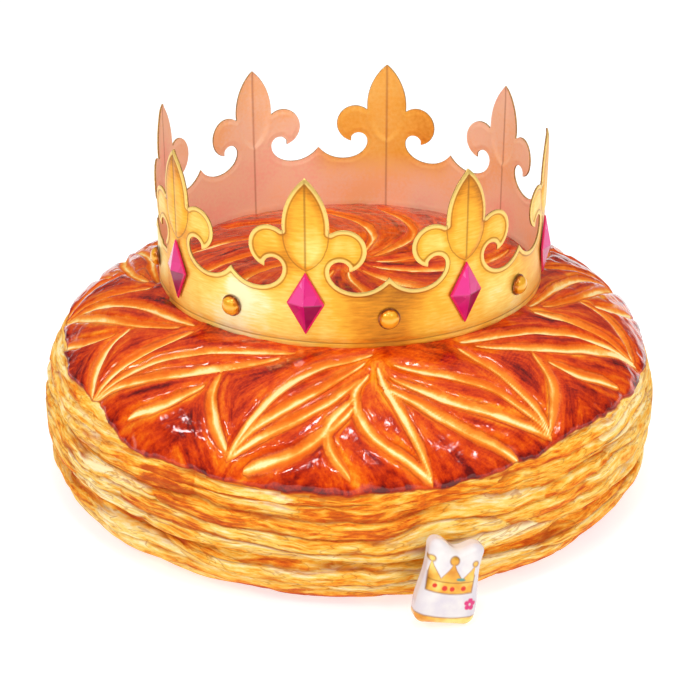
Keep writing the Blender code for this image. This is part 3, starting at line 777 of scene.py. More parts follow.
for k, comb_share in enumerate(shares):
    turned_back = {0: spot, "Angle": -math.pi * k / COMBS}
    combed = add_node(tree, "VectorRotate", turned_back, rotation_type="Z_AXIS")
    combed = add_node(tree, "Mapping", {"Vector": combed, "Scale": (0.1, 1.0, 0.3)})
    hairs = {"Vector": combed, "Scale": every(1.0), "Detail": 3.0, "Roughness": 0.6}
    hair = add_node(tree, "TexNoise", hairs)
    hair = add_node(tree, "MapRange", (hair, 0.32, 0.68, -0.15, 0.15))
    hair = add_node(tree, "Math", (hair, comb_share), operation="MULTIPLY")
    strokes = add_node(tree, "Math", (hair, strokes), operation="ADD")
tone = add_node(tree, "Math", (browned, grain), operation="ADD")
tone = add_node(tree, "Math", (tone, strokes), operation="ADD")
glaze = add_node(tree, "ValToRGB", (tone,), ramp=EGG_BROWNS)
print("the glaze has", len(EGG_BROWNS), "browns and", len(shares), "combs")

# %% The opened cuts and the end of the glaze
way = add_node(tree, "Attribute", out="Vector", attribute_name="cut_offset")
way = add_node(tree, "VectorMath", (way,), out="Value", operation="LENGTH")
way = add_node(tree, "Math", (way, between), operation="MAXIMUM")
cut_share = add_node(tree, "Math", (way, width), operation="DIVIDE")
frayed = add_node(tree, "Math", (strokes, 0.5), operation="MULTIPLY")
for extra in (grain, cut_share):
    frayed = add_node(tree, "Math", (frayed, extra), operation="ADD")
drawn_out = add_node(tree, "MapRange", (streaks, 0.0, 1.0, -0.45, 0.75))
dough_place = add_node(tree, "Math", (frayed, drawn_out), operation="ADD")
dough_place = add_node(tree, "MapRange", (dough_place, 0.0, 1.6))
opened_dough = ((0.08, "#ffe6a6"), (0.22, "#fdc463"), (0.4, "#f4922c"), (0.75, "#e66a0e"))
dough = add_node(tree, "ValToRGB", (dough_place,), ramp=opened_dough)
bare = add_node(tree, "MapRange", (frayed, 1.4, 0.85))
skin = add_node(tree, "Mix", {0: bare, 6: glaze, 7: dough}, out=2, data_type="RGBA")
off_brink = add_node(tree, "Math", (frayed, 1.35), operation="SUBTRACT")
off_brink = add_node(tree, "Math", (off_brink,), operation="ABSOLUTE")
brink = add_node(tree, "MapRange", (off_brink, 0.05, 0.3, 0.55, 0.0))
brink = add_node(tree, "Math", (brink, brink_here), operation="MULTIPLY")
skin = add_node(tree, "Mix", {0: brink, 6: skin, 7: "#a03408"}, out=2, data_type="RGBA")
crust, crust_tone = dry_flakes(tree)
glaze_end = add_node(tree, "Math", (grain, glaze_gap), operation="ADD")
unglazed = add_node(tree, "MapRange", (glaze_end, 0.3, -0.5))
skin = add_node(tree, "Mix", {0: unglazed, 6: skin, 7: crust}, out=2, data_type="RGBA")
off_end = add_node(tree, "Math", (glaze_end,), operation="ABSOLUTE")
burnt_end = add_node(tree, "MapRange", (off_end, 0.1, 0.6, 0.7, 0.0))
skin = add_node(tree, "Mix", {0: burnt_end, 6: skin, 7: "#a42c08"}, out=2, data_type="RGBA")
matt = add_node(tree, "Math", (bare, unglazed), operation="MAXIMUM")
thin_wash = add_node(tree, "MapRange", (glaze_end, 0.5, 1.6, 0.9, 0.0))
matt = add_node(tree, "Math", (matt, thin_wash), operation="MAXIMUM")
varnish = add_node(tree, "MapRange", (matt, 0.0, 1.0, 0.55, 0.0))
rough = add_node(tree, "MapRange", (matt, 0.0, 1.0, 0.1, 0.7))
swellings = add_node(tree, "TexNoise", {"Vector": spot, "Scale": every(3.8), "Detail": 1.5})
relief_height = add_node(tree, "Math", (grain, 0.25), operation="MULTIPLY")
relief_height = add_node(tree, "Math", (relief_height, swellings), operation="ADD")
opening = add_node(tree, "MapRange", (frayed, 0.5, 1.3, 0.0, 0.7))
relief_height = add_node(tree, "Math", (relief_height, opening), operation="ADD")
bump = add_node(tree, "Bump", {"Strength": 0.5, "Distance": 0.8 * MM, "Height": relief_height})
fill_in(shader, {"Base Color": skin, "Roughness": rough, "Specular IOR Level": 0.22, "Normal": bump})
fill_in(shader, {"Coat Weight": varnish, "Coat Roughness": 0.03})
lid.data.materials.append(glazed_pastry)
print("lid finish:", glazed_pastry.name)

# %% [markdown]
# ## The flaky side
#
# The side is where the two rounds of dough were sealed and cut, so every buttered layer shows its
# edge, and the wall bulges twice, as the two rounds rise apart from their seal. A cylinder's
# wall is divided into fine rows and laid on the solid's profile, and the flakes are raised on it.

# %% Add a cylinder and divide its wall
SIDE_COLUMNS = 640
ROW_CUTS = (15, 8)  # cutting every strip 15 times and then 8 times makes 144 rows


def select_edges(piece, wanted):
    """In edge mode, selects the edges for which wanted(one end, other end) is true."""
    bpy.ops.object.mode_set(mode="EDIT")
    bpy.ops.mesh.select_mode(type="EDGE")
    bpy.ops.mesh.select_all(action="DESELECT")
    bpy.ops.object.mode_set(mode="OBJECT")
    ends = np.empty(2 * len(piece.data.edges), np.int32)
    piece.data.edges.foreach_get("vertices", ends)
    spots = points_of(piece)
    first, second = spots[ends[0::2]], spots[ends[1::2]]
    piece.data.edges.foreach_set("select", wanted(first, second))
    bpy.ops.object.mode_set(mode="EDIT")


bpy.ops.object.select_all(action="DESELECT")
standing = {"radius": 0.1, "depth": 1.0, "location": (0.0, 0.0, 0.5)}
bpy.ops.mesh.primitive_cylinder_add(vertices=SIDE_COLUMNS, **standing)
side = bpy.context.object
side.name = "galette_sides"
bpy.ops.object.transform_apply(location=True)
for cuts_a_strip in ROW_CUTS:
    select_edges(side, lambda a, b: np.abs(a[:, 2] - b[:, 2]) > 1.0)
    bpy.ops.mesh.subdivide(number_cuts=cuts_a_strip)
    bpy.ops.object.mode_set(mode="OBJECT")
print("the side has", len(side.data.vertices) // SIDE_COLUMNS, "rows of", SIDE_COLUMNS, "points")

# %% Lay the wall on the profile of the side
knots = [(*knot, level) for level, knot in enumerate(SIDE_PROFILE + UNDER_LID)]
profile = smooth_curve(knots, 1200)
run = length_along(profile[:, :2])
wall = points_of(side)
row = wall[:, 2] * MM * run[-1]
side_radius, side_height, layer_wander, level = (np.interp(row, run, column) for column in profile.T)
slope = np.gradient(profile[:, :2], axis=0)
slope /= np.linalg.norm(slope, axis=1)[:, None]
out_r, out_z = np.interp(row, run, slope[:, 1]), np.interp(row, run, -slope[:, 0])
turn = np.arctan2(wall[:, 0], -wall[:, 1])
spoke = np.stack([np.sin(turn), -np.cos(turn)], axis=1)
lift = layer_wander * (0.6 * np.sin(3 * turn + 0.7 * level) + 0.4 * np.sin(7 * turn + 1.9 * level))
bulge = 0.6 * np.sin(4 * turn + 0.5 + 0.3 * level) + 0.4 * np.sin(9 * turn + 1.1 * level)
bulge *= SIDE_WAVE * smooth_step(side_height / 3.0)
print("the side's profile is", round(run[-1], 1), "mm long, base to lid")


# %% Raise the flakes
open_wall = smooth_step(side_height / 4.0) * smooth_step((run[-1] - row - 12.0) / 6.0)
flake_relief, flake_paint = lay_flakes(turn, row)
inwards, upwards = edge_wave(np.arctan2(spoke[:, 1], spoke[:, 0]))
at_lid = smooth_step((side_height - 40.0) / 5.0)
radius = side_radius + bulge - at_lid * inwards + out_r * flake_relief * open_wall
height = side_height + lift + at_lid * upwards + out_z * flake_relief * open_wall
radius = np.minimum(radius, PIE_RADIUS - SIDE_WAVE)
side_points = np.column_stack([spoke * radius[:, None], np.maximum(height, 0.0)])
move_points(side, side_points)
for name, values in flake_paint.items():
    paint(side, name, values)
# Painted shade: darker in the crease where the two rounds meet and along the wall's foot.
seam = np.exp(-(((side_height - SEAM_HEIGHT + 0.8 * mottle(side_points, 20.0, 61)) / 1.9) ** 2))
foot = 1.0 - smooth_step(side_height / 13.0)
paint(side, "painted_deep_shade", 0.8 * seam * (0.7 + 0.4 * mottle(side_points, 26.0, 62)) + 0.8 * foot)
print("flakes rise", round(flake_relief.max(), 2), "mm and sink", round(flake_relief.min(), 2), "mm")
bpy.ops.object.shade_smooth()
hand_over(side, "pastry", "galette")

# %% [markdown]
# ## Dry puff pastry
#
# Without egg the pastry stays matt. Each thin sheet bakes from cream through gold to a toasted
# orange, and is painted darker as shade where it lies deep or faces down. Its edge is a thin
# brown line, and the gaps between flakes are painted dark, partly as shade. Fine streaks run
# along the layers, so the pattern reads a place that is stretched along them.

# %% The flaky side's material
# Folded and rolled butter dough, baked dry: matt, so only the relief and the colours show,
# toasted ones and painted shade.
flaky_pastry, tree, shader = new_material("dry_laminated_puff_pastry")
crust, crust_tone = dry_flakes(tree)
bump = add_node(tree, "Bump", {"Strength": 0.6, "Distance": 0.8 * MM, "Height": crust_tone})
fill_in(shader, {"Base Color": crust, "Roughness": 0.7, "Specular IOR Level": 0.25, "Normal": bump})
side.data.materials.append(flaky_pastry)
print("side finish:", flaky_pastry.name)

# %% [markdown]
# ## The card crown
#
# The real crown is die-cut from foil-covered card, embossed in the same stroke, bent round and
# glued to its own tab. It is made in that order: the flat outline is filled with fine even
# triangles, bent to a ring, given its thickness by Solidify and its soft edges by Bevel. Knife
# work on a primitive could not give this outline, which is all arcs, so it is drawn from the
# arcs that the solid was made of, with more points. A point lies inside it where a line to the
# right crosses the outline an odd number of times.

# %% The sizes of the crown
CROWN_RADIUS = 79.3
CROWN_SHIFT = (0.5, 2.5)  # the ring's middle, to the right of the pie's and behind it
CROWN_LIFT = 84.38
CROWN_TILT = 0.45  # degrees, towards the back
CARD = 0.7
GAP = 0.3  # for the glue, between the card's two ends and behind gems and studs
FLEURS = 8
FIRST_FLEUR = -57.0  # degrees round the ring from its front
PITCH = 2.0 * math.pi * CROWN_RADIUS / FLEURS
# The seam, along the card from the first fleur's middle: the outer end, and the inner end's tab.
SEAM_OFFSET = -11.0
TAB_END = -2.0
TAB_HEIGHT = 21.5
SEAM_MARGIN = 4.0  # the ends stay fully apart for this much beyond their overlap
SEAM_FADE = 24.0  # and are back on the ring's radius after this much more
# Half a fleur: places are across and up from the foot of its middle line, angles in degrees.
TIP_HEIGHT = 67.0
PETAL_WIDEST = (8.9, 48.0)
PETAL_FOOT_ANGLE = -4.0
LOBE_CENTRE = (14.2, 39.3)
LOBE_RADIUS = 8.4
NOTCH_TURN = 4.0
HOOK_ANGLE = -76.0
EYE_CENTRE = (12.7, 31.2)
EYE_RADIUS = 3.9
EYE_OPENS_AT = 28.0
SCOOP_BOTTOM = (19.8, 22.9)
SADDLE_HEIGHT = 28.6
print("the card is", round(FLEURS * PITCH), "mm long and", TIP_HEIGHT, "mm tall")


# %% Half a fleur-de-lis from arcs
def arc(centre, radii, start, end, steps):
    """Points on an ellipse from one angle to another, in degrees."""
    angles = [math.radians(start + (end - start) * i / steps) for i in range(steps + 1)]
    return [(centre[0] + radii[0] * math.cos(a), centre[1] + radii[1] * math.sin(a)) for a in angles]


def half_fleur():
    """From the tip over lobe, hook and eye to the saddle between two fleurs."""
    widest_x, widest_y = PETAL_WIDEST
    rise = TIP_HEIGHT - widest_y
    petal_radius = (widest_x**2 + rise**2) / (2.0 * widest_x)
    petal_centre = (widest_x - petal_radius, widest_y)
    tip_angle = math.degrees(math.atan2(rise, -petal_centre[0]))
    petal = arc(petal_centre, (petal_radius, petal_radius), tip_angle, PETAL_FOOT_ANGLE, 26)
    meeting = math.degrees(math.acos((petal[-1][0] - LOBE_CENTRE[0]) / LOBE_RADIUS))
    lobe = arc(LOBE_CENTRE, (LOBE_RADIUS, LOBE_RADIUS), meeting - NOTCH_TURN, HOOK_ANGLE, 40)
    eye = arc(EYE_CENTRE, (EYE_RADIUS, EYE_RADIUS), EYE_OPENS_AT, 180.0, 16)
    neck_x, neck_y = eye[-1]
    low_x, low_y = SCOOP_BOTTOM
    scoop = arc((low_x, neck_y), (low_x - neck_x, neck_y - low_y), 180.0, 270.0, 20)
    climb, run = SADDLE_HEIGHT - low_y, 0.5 * PITCH - low_x
    wall_radius = (run**2 + climb**2) / (2.0 * climb)
    wall_end = -90.0 + math.degrees(math.asin(run / wall_radius))
    wall = arc((low_x, low_y + wall_radius), (wall_radius, wall_radius), -90.0, wall_end, 16)
    return petal, lobe, eye, scoop, wall


print("half a fleur has", [len(line) for line in half_fleur()], "points on its five arcs")


# %% The card's whole upper outline
def top_edge():
    """The card's upper outline from its outer end to its inner end, and the ends themselves."""
    petal, lobe, eye, scoop, wall = half_fleur()
    crest = petal + lobe + eye
    right = crest + scoop[1:] + wall[1:]
    neck_x, neck_y = eye[-1]
    low_x, low_y = SCOOP_BOTTOM
    share = (low_x + SEAM_OFFSET) / (low_x - neck_x)
    seam_top = neck_y - (neck_y - low_y) * math.sqrt(1.0 - share**2)
    kept = [p for p in scoop[1:] if p[0] < -SEAM_OFFSET]
    line = [(SEAM_OFFSET, seam_top)] + [(-x, y) for x, y in reversed(crest + kept)] + right[1:]
    for fleur in range(1, FLEURS):
        shift = fleur * PITCH
        line += [(shift - x, y) for x, y in reversed(right[:-1])]
        line += [(shift + x, y) for x, y in right[1:]]
    length = FLEURS * PITCH
    line += [(length - x, y) for x, y in reversed(wall[1:-1])]
    return line + [(length - low_x, TAB_HEIGHT), (length + TAB_END, TAB_HEIGHT)]


print("the card's upper outline has", len(top_edge()), "points")

# %% Dividing an outline, and telling what is near it or inside it
def divided(line, step):
    """The same line with points no further apart than step."""
    made = [line[0]]
    for a, b in zip(line, line[1:]):
        count = max(1, math.ceil(math.dist(a, b) / step))
        wide, high = b[0] - a[0], b[1] - a[1]
        made += [(a[0] + wide * i / count, a[1] + high * i / count) for i in range(1, count + 1)]
    return made


def gap_to(points, line):
    """The distance of each point to the nearest of the line's points."""
    finder = KDTree(len(line))
    for i, (x, y) in enumerate(line):
        finder.insert((x, y, 0.0), i)
    finder.balance()
    return np.array([finder.find((x, y, 0.0))[2] for x, y in points])


def is_inside(points, outline):
    """True for each point from which a line to the right crosses the outline an odd number of times."""
    odd = np.zeros(len(points), bool)
    x, y = points.T
    for (x0, y0), (x1, y1) in zip(outline, outline[1:] + outline[:1]):
        if y0 != y1:
            odd ^= ((y0 > y) != (y1 > y)) & (x < x0 + (y - y0) * (x1 - x0) / (y1 - y0))
    return odd


middle = np.array([[0.5, 0.5], [1.5, 0.5]])
print("inside a unit square or not:", is_inside(middle, [(0.0, 0.0), (1.0, 0.0), (1.0, 1.0), (0.0, 1.0)]))

# %% Fill the outline with even triangles
CARD_CELL = 0.95
PAST_START, PAST_END = 30.0, 10.0  # the fleurs reach less far than this past the band's ends

upper = top_edge()
start, end = upper[0][0], upper[-1][0]
outline = divided([(start, 0.0), *upper, (end, 0.0), (start, 0.0)], CARD_CELL)[:-1]
row_gap = CARD_CELL * math.sqrt(0.75)
inside = [
    (start - PAST_START + CARD_CELL * (i + 0.5 * (j % 2)), row_gap * j)
    for j in range(1, int(TIP_HEIGHT / row_gap) + 1)
    for i in range(int((end - start + PAST_START + PAST_END) / CARD_CELL))
]
off_outline = gap_to(inside, divided(outline + outline[:1], 0.3))
free = is_inside(np.array(inside), outline) & (off_outline > 0.55 * CARD_CELL)
spots = [Vector(p) for p in outline + list(itertools.compress(inside, free))]
loop = [(i, (i + 1) % len(outline)) for i in range(len(outline))]
flat, _, triangles, *_ = delaunay_2d_cdt(spots, loop, [], 0, 1e-4, False)
card, triangles = np.array([tuple(p) for p in flat]), np.array(triangles)
triangles = triangles[is_inside(card[triangles].mean(axis=1), outline)]
mesh = bpy.data.meshes.new("crown")
mesh.from_pydata([(x * MM, 0.0, y * MM) for x, y in card], [], triangles.tolist())
crown = bpy.data.objects.new("crown_card", mesh)
scene.collection.objects.link(crown)
print("the flat card has", len(mesh.polygons), "triangles")

# %% Emboss it and bend it round
CREASE_FOOT = 31.5  # the fold down a fleur's middle ends at this height
PETAL_SIDE = ((8.7, 46.5), (8.2, 41.0), (6.2, 36.0), (3.0, 32.6), (0.0, 30.9))

edge_gap = gap_to(card, divided(upper, 0.2))
unit = np.stack([np.abs((card[:, 0] + 0.5 * PITCH) % PITCH - 0.5 * PITCH), card[:, 1]], axis=1)
petal_line = gap_to(unit, divided([tuple(p) for p in smooth_curve(PETAL_SIDE, 24)], 0.2))
petal_low, petal_high = (
    np.interp(unit[:, 1], [y for _, y in reversed(line)], [x for x, _ in reversed(line)])
    for line in (PETAL_SIDE, half_fleur()[0])
)
petal_half = np.where(unit[:, 1] > PETAL_SIDE[0][1], petal_high, petal_low)
in_petal = smooth_step((petal_half - unit[:, 0]) / 3.0) * (unit[:, 1] > CREASE_FOOT)
bead = 0.34 * np.exp(-(((edge_gap - 0.85) / 0.7) ** 2))
bead = bead - 0.2 * np.exp(-(((edge_gap - 2.2) / 0.6) ** 2))
crease = 0.4 * np.exp(-((unit[:, 0] / 0.9) ** 2)) * smooth_step((unit[:, 1] - CREASE_FOOT) / 2.0)
rim_line = 0.16 * np.exp(-(((card[:, 1] - 2.2) / 0.6) ** 2))
emboss = bead + 0.75 * in_petal - crease - 0.25 * np.exp(-((petal_line / 0.8) ** 2)) - rim_line


def on_crown(x, y, out=0.0):
    """Where points of the flat card come to lie when the card is bent round."""
    apart = 0.5 * (CARD + GAP)
    seam_again = FLEURS * PITCH + SEAM_OFFSET
    outer = 1.0 - smooth_step((x - TAB_END - SEAM_MARGIN) / SEAM_FADE)
    inner = smooth_step((x - seam_again + SEAM_MARGIN + SEAM_FADE) / SEAM_FADE)
    radius = CROWN_RADIUS + apart * (outer - inner) + out
    turn = np.radians(FIRST_FLEUR + 360.0 * x / (FLEURS * PITCH))
    east = CROWN_SHIFT[0] + radius * np.sin(turn)
    back = -radius * np.cos(turn)
    up = CROWN_LIFT + y - math.tan(math.radians(CROWN_TILT)) * back
    return np.stack([east, CROWN_SHIFT[1] + back, up], axis=-1)


move_points(crown, on_crown(card[:, 0], card[:, 1], 0.8 * emboss))
print("embossed by", round(emboss.min(), 2), "to", round(emboss.max(), 2), "mm")

# %% Paint the card's numbers
# Painted reflection: the band's gold is made lighter or darker in these zones, standing for the room that
# the foil would mirror.
PAINTED_REFLECTIONS = (  # what the band mirrors: at which fleur, how many fleurs wide, and how much darker
    (-0.12, 0.1, 0.28), (0.55, 0.2, -0.42), (1.5, 0.24, 0.45), (2.3, 0.2, -0.1), (3.1, 0.2, 0.25),
    (3.9, 0.3, -0.25), (4.8, 0.25, 0.3), (5.7, 0.3, -0.2), (6.5, 0.25, 0.3), (7.3, 0.25, -0.2),
)
GILT_FLEUR = 5.0  # the fleur that has a gold sheen inside as well

along = card[:, 0] / PITCH
painted_reflection = sum(dark * np.exp(-(((along - at) / wide) ** 2)) for at, wide, dark in PAINTED_REFLECTIONS)
paint(crown, "painted_reflection", painted_reflection * smooth_step((34.0 - card[:, 1]) / 14.0))
sheen = smooth_step((0.62 - np.abs(along - GILT_FLEUR)) / 0.25)
paint(crown, "gilt_inside", sheen * smooth_step((card[:, 1] - 10.0) / 18.0))
paint(crown, "edge_gap", edge_gap)
paint(crown, "petal_line", petal_line * np.where(unit[:, 0] < petal_half, 1.0, -1.0))
paint(crown, "in_petal", in_petal)
paint(crown, "flat", np.column_stack([card, np.zeros(len(card))]) * MM)
print("the band mirrors", len(PAINTED_REFLECTIONS), "lighter and darker zones")


# %% Give it the thickness of card
def apply_modifier(piece, kind, **settings):
    """Adds a modifier with these settings and makes its result the piece's mesh."""
    bpy.ops.object.select_all(action="DESELECT")
    bpy.context.view_layer.objects.active = piece
    piece.select_set(True)
    modifier = piece.modifiers.new(kind.lower(), kind)
    for name, value in settings.items():
        setattr(modifier, name, value)
    bpy.ops.object.modifier_apply(modifier=modifier.name)


for finish in ("outside", "inside", "edge"):
    crown.data.materials.append(bpy.data.materials.new(finish))
sides = {"material_offset": 1, "material_offset_rim": 2}
apply_modifier(crown, "SOLIDIFY", thickness=CARD * MM, offset=0.0, **sides)
soft_edge = {"segments": 2, "limit_method": "ANGLE"}
apply_modifier(crown, "BEVEL", width=0.14 * MM, angle_limit=math.radians(55.0), **soft_edge)
bpy.ops.object.shade_smooth_by_angle(angle=math.radians(50.0))
hand_over(crown, "gold_card", "crown")

# %% [markdown]
# ## Gold foil on card
#
# The outside is a thin metal foil rolled onto board. It mirrors softly, because the board's
# fibres show through it, and the press leaves a raised bead along the edge, painted lighter as a
# highlight, with a fine painted shadow line inside it. Foil takes most of its looks from the room,
# and a plain studio is nearly empty, so lighter and darker zones painted into the gold stand for
# the room's reflection. Painted shade darkens the gold beside its edge, beside the petals, at
# the petals' tops and down their middle folds. The inside is plain coloured paper, with painted
# shade down each fold, and the cut edge shows the board.

# %% The foil
# Metal foil, hot rolled onto card: a soft mirror. The real roll marks are ten times finer than
# these, which are as coarse as they need to be to show.
GOLDS = ((0.0, "#fff4c0"), (0.25, "#fedb70"), (0.5, "#f9b836"), (0.75, "#e4921c"), (1.0, "#ac6410"))

gold_foil, tree, shader = new_material("gold_foil_on_card")
gap, petal, in_leaf, painted_room = (
    add_node(tree, "Attribute", out="Fac", attribute_name=name)
    for name in ("edge_gap", "petal_line", "in_petal", "painted_reflection")
)
petal = add_node(tree, "Math", (petal,), operation="ABSOLUTE")
card_place = add_node(tree, "Attribute", out="Vector", attribute_name="flat")
across, up, _ = add_node(tree, "SeparateXYZ", (card_place,), out=slice(3))
across = add_node(tree, "Math", (across, 0.5 * PITCH * MM), operation="PINGPONG")
stretched = add_node(tree, "Mapping", {"Vector": card_place, "Scale": (0.25, 1.6, 1.0)})
roll_marks = {"Vector": stretched, "Scale": every(1.4), "Detail": 4.0, "Roughness": 0.6}
rolled = add_node(tree, "TexNoise", roll_marks)
clouds = add_node(tree, "TexNoise", {"Vector": card_place, "Scale": every(24.0), "Detail": 3.0})
rolled_tone = add_node(tree, "MapRange", (rolled, 0.3, 0.7, -0.1, 0.1))
cloud_tone = add_node(tree, "MapRange", (clouds, 0.3, 0.7, -0.2, 0.2))
# Painted shade: the gold is darker at the petals' tops, beside the card's edge and on both sides of each
# petal's outline.
leaf_top_shade = add_node(tree, "MapRange", (up, 41.0 * MM, 64.0 * MM, 0.0, 0.38))
leaf_shade = add_node(tree, "Math", (leaf_top_shade, in_leaf), operation="MULTIPLY")
shade_by_edge = add_node(tree, "MapRange", (gap, 1.5, 4.5, 0.2, 0.0))
shade_by_leaf = add_node(tree, "MapRange", (petal, 0.0, 3.0, 0.22, 0.0))
tone = add_node(tree, "Math", (rolled_tone, 0.4), operation="ADD")
for extra in (cloud_tone, leaf_shade, shade_by_edge, shade_by_leaf, painted_room):
    tone = add_node(tree, "Math", (tone, extra), operation="ADD")
foil = add_node(tree, "ValToRGB", (tone,), ramp=GOLDS)
print("the foil has", len(GOLDS), "golds")

# %% The pressed lines of the foil
# Painted highlight: a lighter gold along the raised bead by the edge.
bead = add_node(tree, "MapRange", (gap, 1.2, 1.5, 0.8, 0.0))
foil = add_node(tree, "Mix", {0: bead, 6: foil, 7: "#fbdc80"}, out=2, data_type="RGBA")
# Painted shade: dark lines in the pressed grooves, inside the bead, along each petal's outline and above the
# band's foot.
pressed_at = petal
for line, place, scale in ((gap, 1.75, 1.0), (up, 2.2 * MM, 1.0 / MM)):
    off = add_node(tree, "Math", (line, place), operation="SUBTRACT")
    off = add_node(tree, "Math", (off,), operation="ABSOLUTE")
    off = add_node(tree, "Math", (off, scale), operation="MULTIPLY")
    pressed_at = add_node(tree, "Math", (pressed_at, off), operation="MINIMUM")
groove_shade = add_node(tree, "MapRange", (pressed_at, 0.1, 0.45, 0.6, 0.0))
foil = add_node(tree, "Mix", {0: groove_shade, 6: foil, 7: "#9a5c12"}, out=2, data_type="RGBA")
# Painted shade down the fold in each petal's middle.
crease = add_node(tree, "MapRange", (across, 0.2 * MM, 0.7 * MM, 0.6, 0.0))
crease = add_node(tree, "Math", (crease, in_leaf), operation="MULTIPLY")
foil = add_node(tree, "Mix", {0: crease, 6: foil, 7: "#8e5410"}, out=2, data_type="RGBA")
bump = add_node(tree, "Bump", {"Strength": 0.25, "Distance": 0.3 * MM, "Height": rolled})
fill_in(shader, {"Base Color": foil, "Metallic": 0.6, "Roughness": 0.34, "Normal": bump})
crown.data.materials[0] = gold_foil
print("crown outside:", gold_foil.name)

# %% The paper inside and the cut board
# Dyed uncoated paper: quite matt, with the faint clouds of its fibres, drawn coarser than real
# ones so that they show.
salmon_paper, tree, shader = new_material("salmon_lining_paper")
card_place = add_node(tree, "Attribute", out="Vector", attribute_name="flat")
across, up, _ = add_node(tree, "SeparateXYZ", (card_place,), out=slice(3))
across = add_node(tree, "Math", (across, 0.5 * PITCH * MM), operation="PINGPONG")
fibres = add_node(tree, "TexNoise", {"Vector": card_place, "Scale": every(1.5), "Detail": 5.0})
clouds = add_node(tree, "TexNoise", {"Vector": card_place, "Scale": every(38.0), "Detail": 2.0})
tone = add_node(tree, "Math", (fibres, 0.35), operation="MULTIPLY")
tone = add_node(tree, "Math", (tone, clouds), operation="ADD")
paper = add_node(tree, "ValToRGB", (tone,), ramp=((0.45, "#ffbca2"), (0.65, "#ffd2b0"), (0.85, "#ffc48c")))
gilt = add_node(tree, "Attribute", out="Fac", attribute_name="gilt_inside")
rubbed = add_node(tree, "ValToRGB", (tone,), ramp=((0.45, "#e8962c"), (0.65, "#f8b548"), (0.85, "#fcc868")))
paper = add_node(tree, "Mix", {0: gilt, 6: paper, 7: rubbed}, out=2, data_type="RGBA")
# Painted shade down the fold in each fleur's middle.
fold_shade = add_node(tree, "MapRange", (across, 0.2 * MM, 0.7 * MM, 0.5, 0.0))
paper = add_node(tree, "Mix", {0: fold_shade, 6: paper, 7: "#a85a40"}, out=2, data_type="RGBA")
fill_in(shader, {"Base Color": paper, "Roughness": 0.7, "Specular IOR Level": 0.3})
crown.data.materials[1] = salmon_paper

# Brown board where the die cut it: a fine dark line round all that is gold.
cut_board, tree, shader = new_material("cut_edge_of_gilded_board")
spot = add_node(tree, "TexCoord", out="Object")
plies = add_node(tree, "TexNoise", {"Vector": spot, "Scale": every(0.7)})
board = add_node(tree, "ValToRGB", (plies,), ramp=((0.35, "#8a5a22"), (0.65, "#b98436")))
fill_in(shader, {"Base Color": board, "Roughness": 0.6})
crown.data.materials[2] = cut_board
print("crown inside and edge:", salmon_paper.name, cut_board.name)

# %% [markdown]
# ## The gems
#
# The gems are moulded acrylic lozenges with a flat back that is glued to the foil. A cylinder
# of four sides gives the girdle, its top face is drawn together into the point, and a small
# bevel rounds the arrises as a mould does, which is what catches the light.

# %% Places on the band
GEM_WIDTH = 14.6
GEM_HEIGHT = 25.2
GEM_DEPTH = 3.4
GEM_GIRDLE = 0.7  # the thickness of its edge
GEM_LIFT = 18.1  # its middle above the card's lower edge


def on_band(fleur, height):
    """A frame on the band: its Z axis points out of the card and its Y axis up."""
    x = fleur * PITCH
    place = Vector(on_crown(x, height, 0.5 * CARD + GAP)) * MM
    turn = math.radians(FIRST_FLEUR + 360.0 * x / (FLEURS * PITCH))
    upright = Matrix.Rotation(math.radians(90.0), 4, "X")
    return Matrix.Translation(place) @ Matrix.Rotation(turn, 4, "Z") @ upright


def place_copy(model, name, matrix, *nodes, slot):
    """A copy of the model with a mesh of its own, whose place goes into the mesh."""
    made = bpy.data.objects.new(name, model.data.copy())
    scene.collection.objects.link(made)
    made.data.transform(matrix)
    hand_over(made, slot, *nodes)
    return made


print("the first gem is at", [round(v / MM, 1) for v in on_band(0, GEM_LIFT).translation], "mm")

# %% Model one gem
bpy.ops.object.select_all(action="DESELECT")
bpy.ops.mesh.primitive_cylinder_add(vertices=4, radius=1.0, depth=1.0, location=(0.0, 0.0, 0.5))
gem = bpy.context.object
bpy.ops.object.transform_apply(location=True)
bpy.ops.object.mode_set(mode="EDIT")
bpy.ops.mesh.select_mode(type="FACE")
bpy.ops.mesh.select_all(action="DESELECT")
bpy.ops.object.mode_set(mode="OBJECT")
for face in gem.data.polygons:
    face.select = face.normal.z > 0.9
bpy.ops.object.mode_set(mode="EDIT")
to_the_point = (0.0, 0.0, GEM_DEPTH / GEM_GIRDLE - 1.0)
bpy.ops.mesh.extrude_region_move(TRANSFORM_OT_translate={"value": to_the_point})
bpy.ops.mesh.merge(type="CENTER")
bpy.ops.object.mode_set(mode="OBJECT")
corners = points_of(gem) * MM
reach = np.abs(corners[:, :2]).max()
move_points(gem, corners * (0.5 * GEM_WIDTH / reach, 0.5 * GEM_HEIGHT / reach, GEM_GIRDLE))
apply_modifier(gem, "BEVEL", width=0.28 * MM, angle_limit=math.radians(10.0), **soft_edge)
bpy.ops.object.shade_flat()
print("one gem:", len(gem.data.polygons), "faces")

# %% Pink acrylic, and eight copies round the band
# Acrylic, injection moulded: glossy and clear right through. Each facet's colour is painted lit
# or shaded, lighter on the upper left and darker on the lower right, and broken up by painted
# shards of reflection.
PINKS = ((0.1, "#92004a"), (0.4, "#d0046e"), (0.7, "#ea2e90"), (1.0, "#fba8d6"))

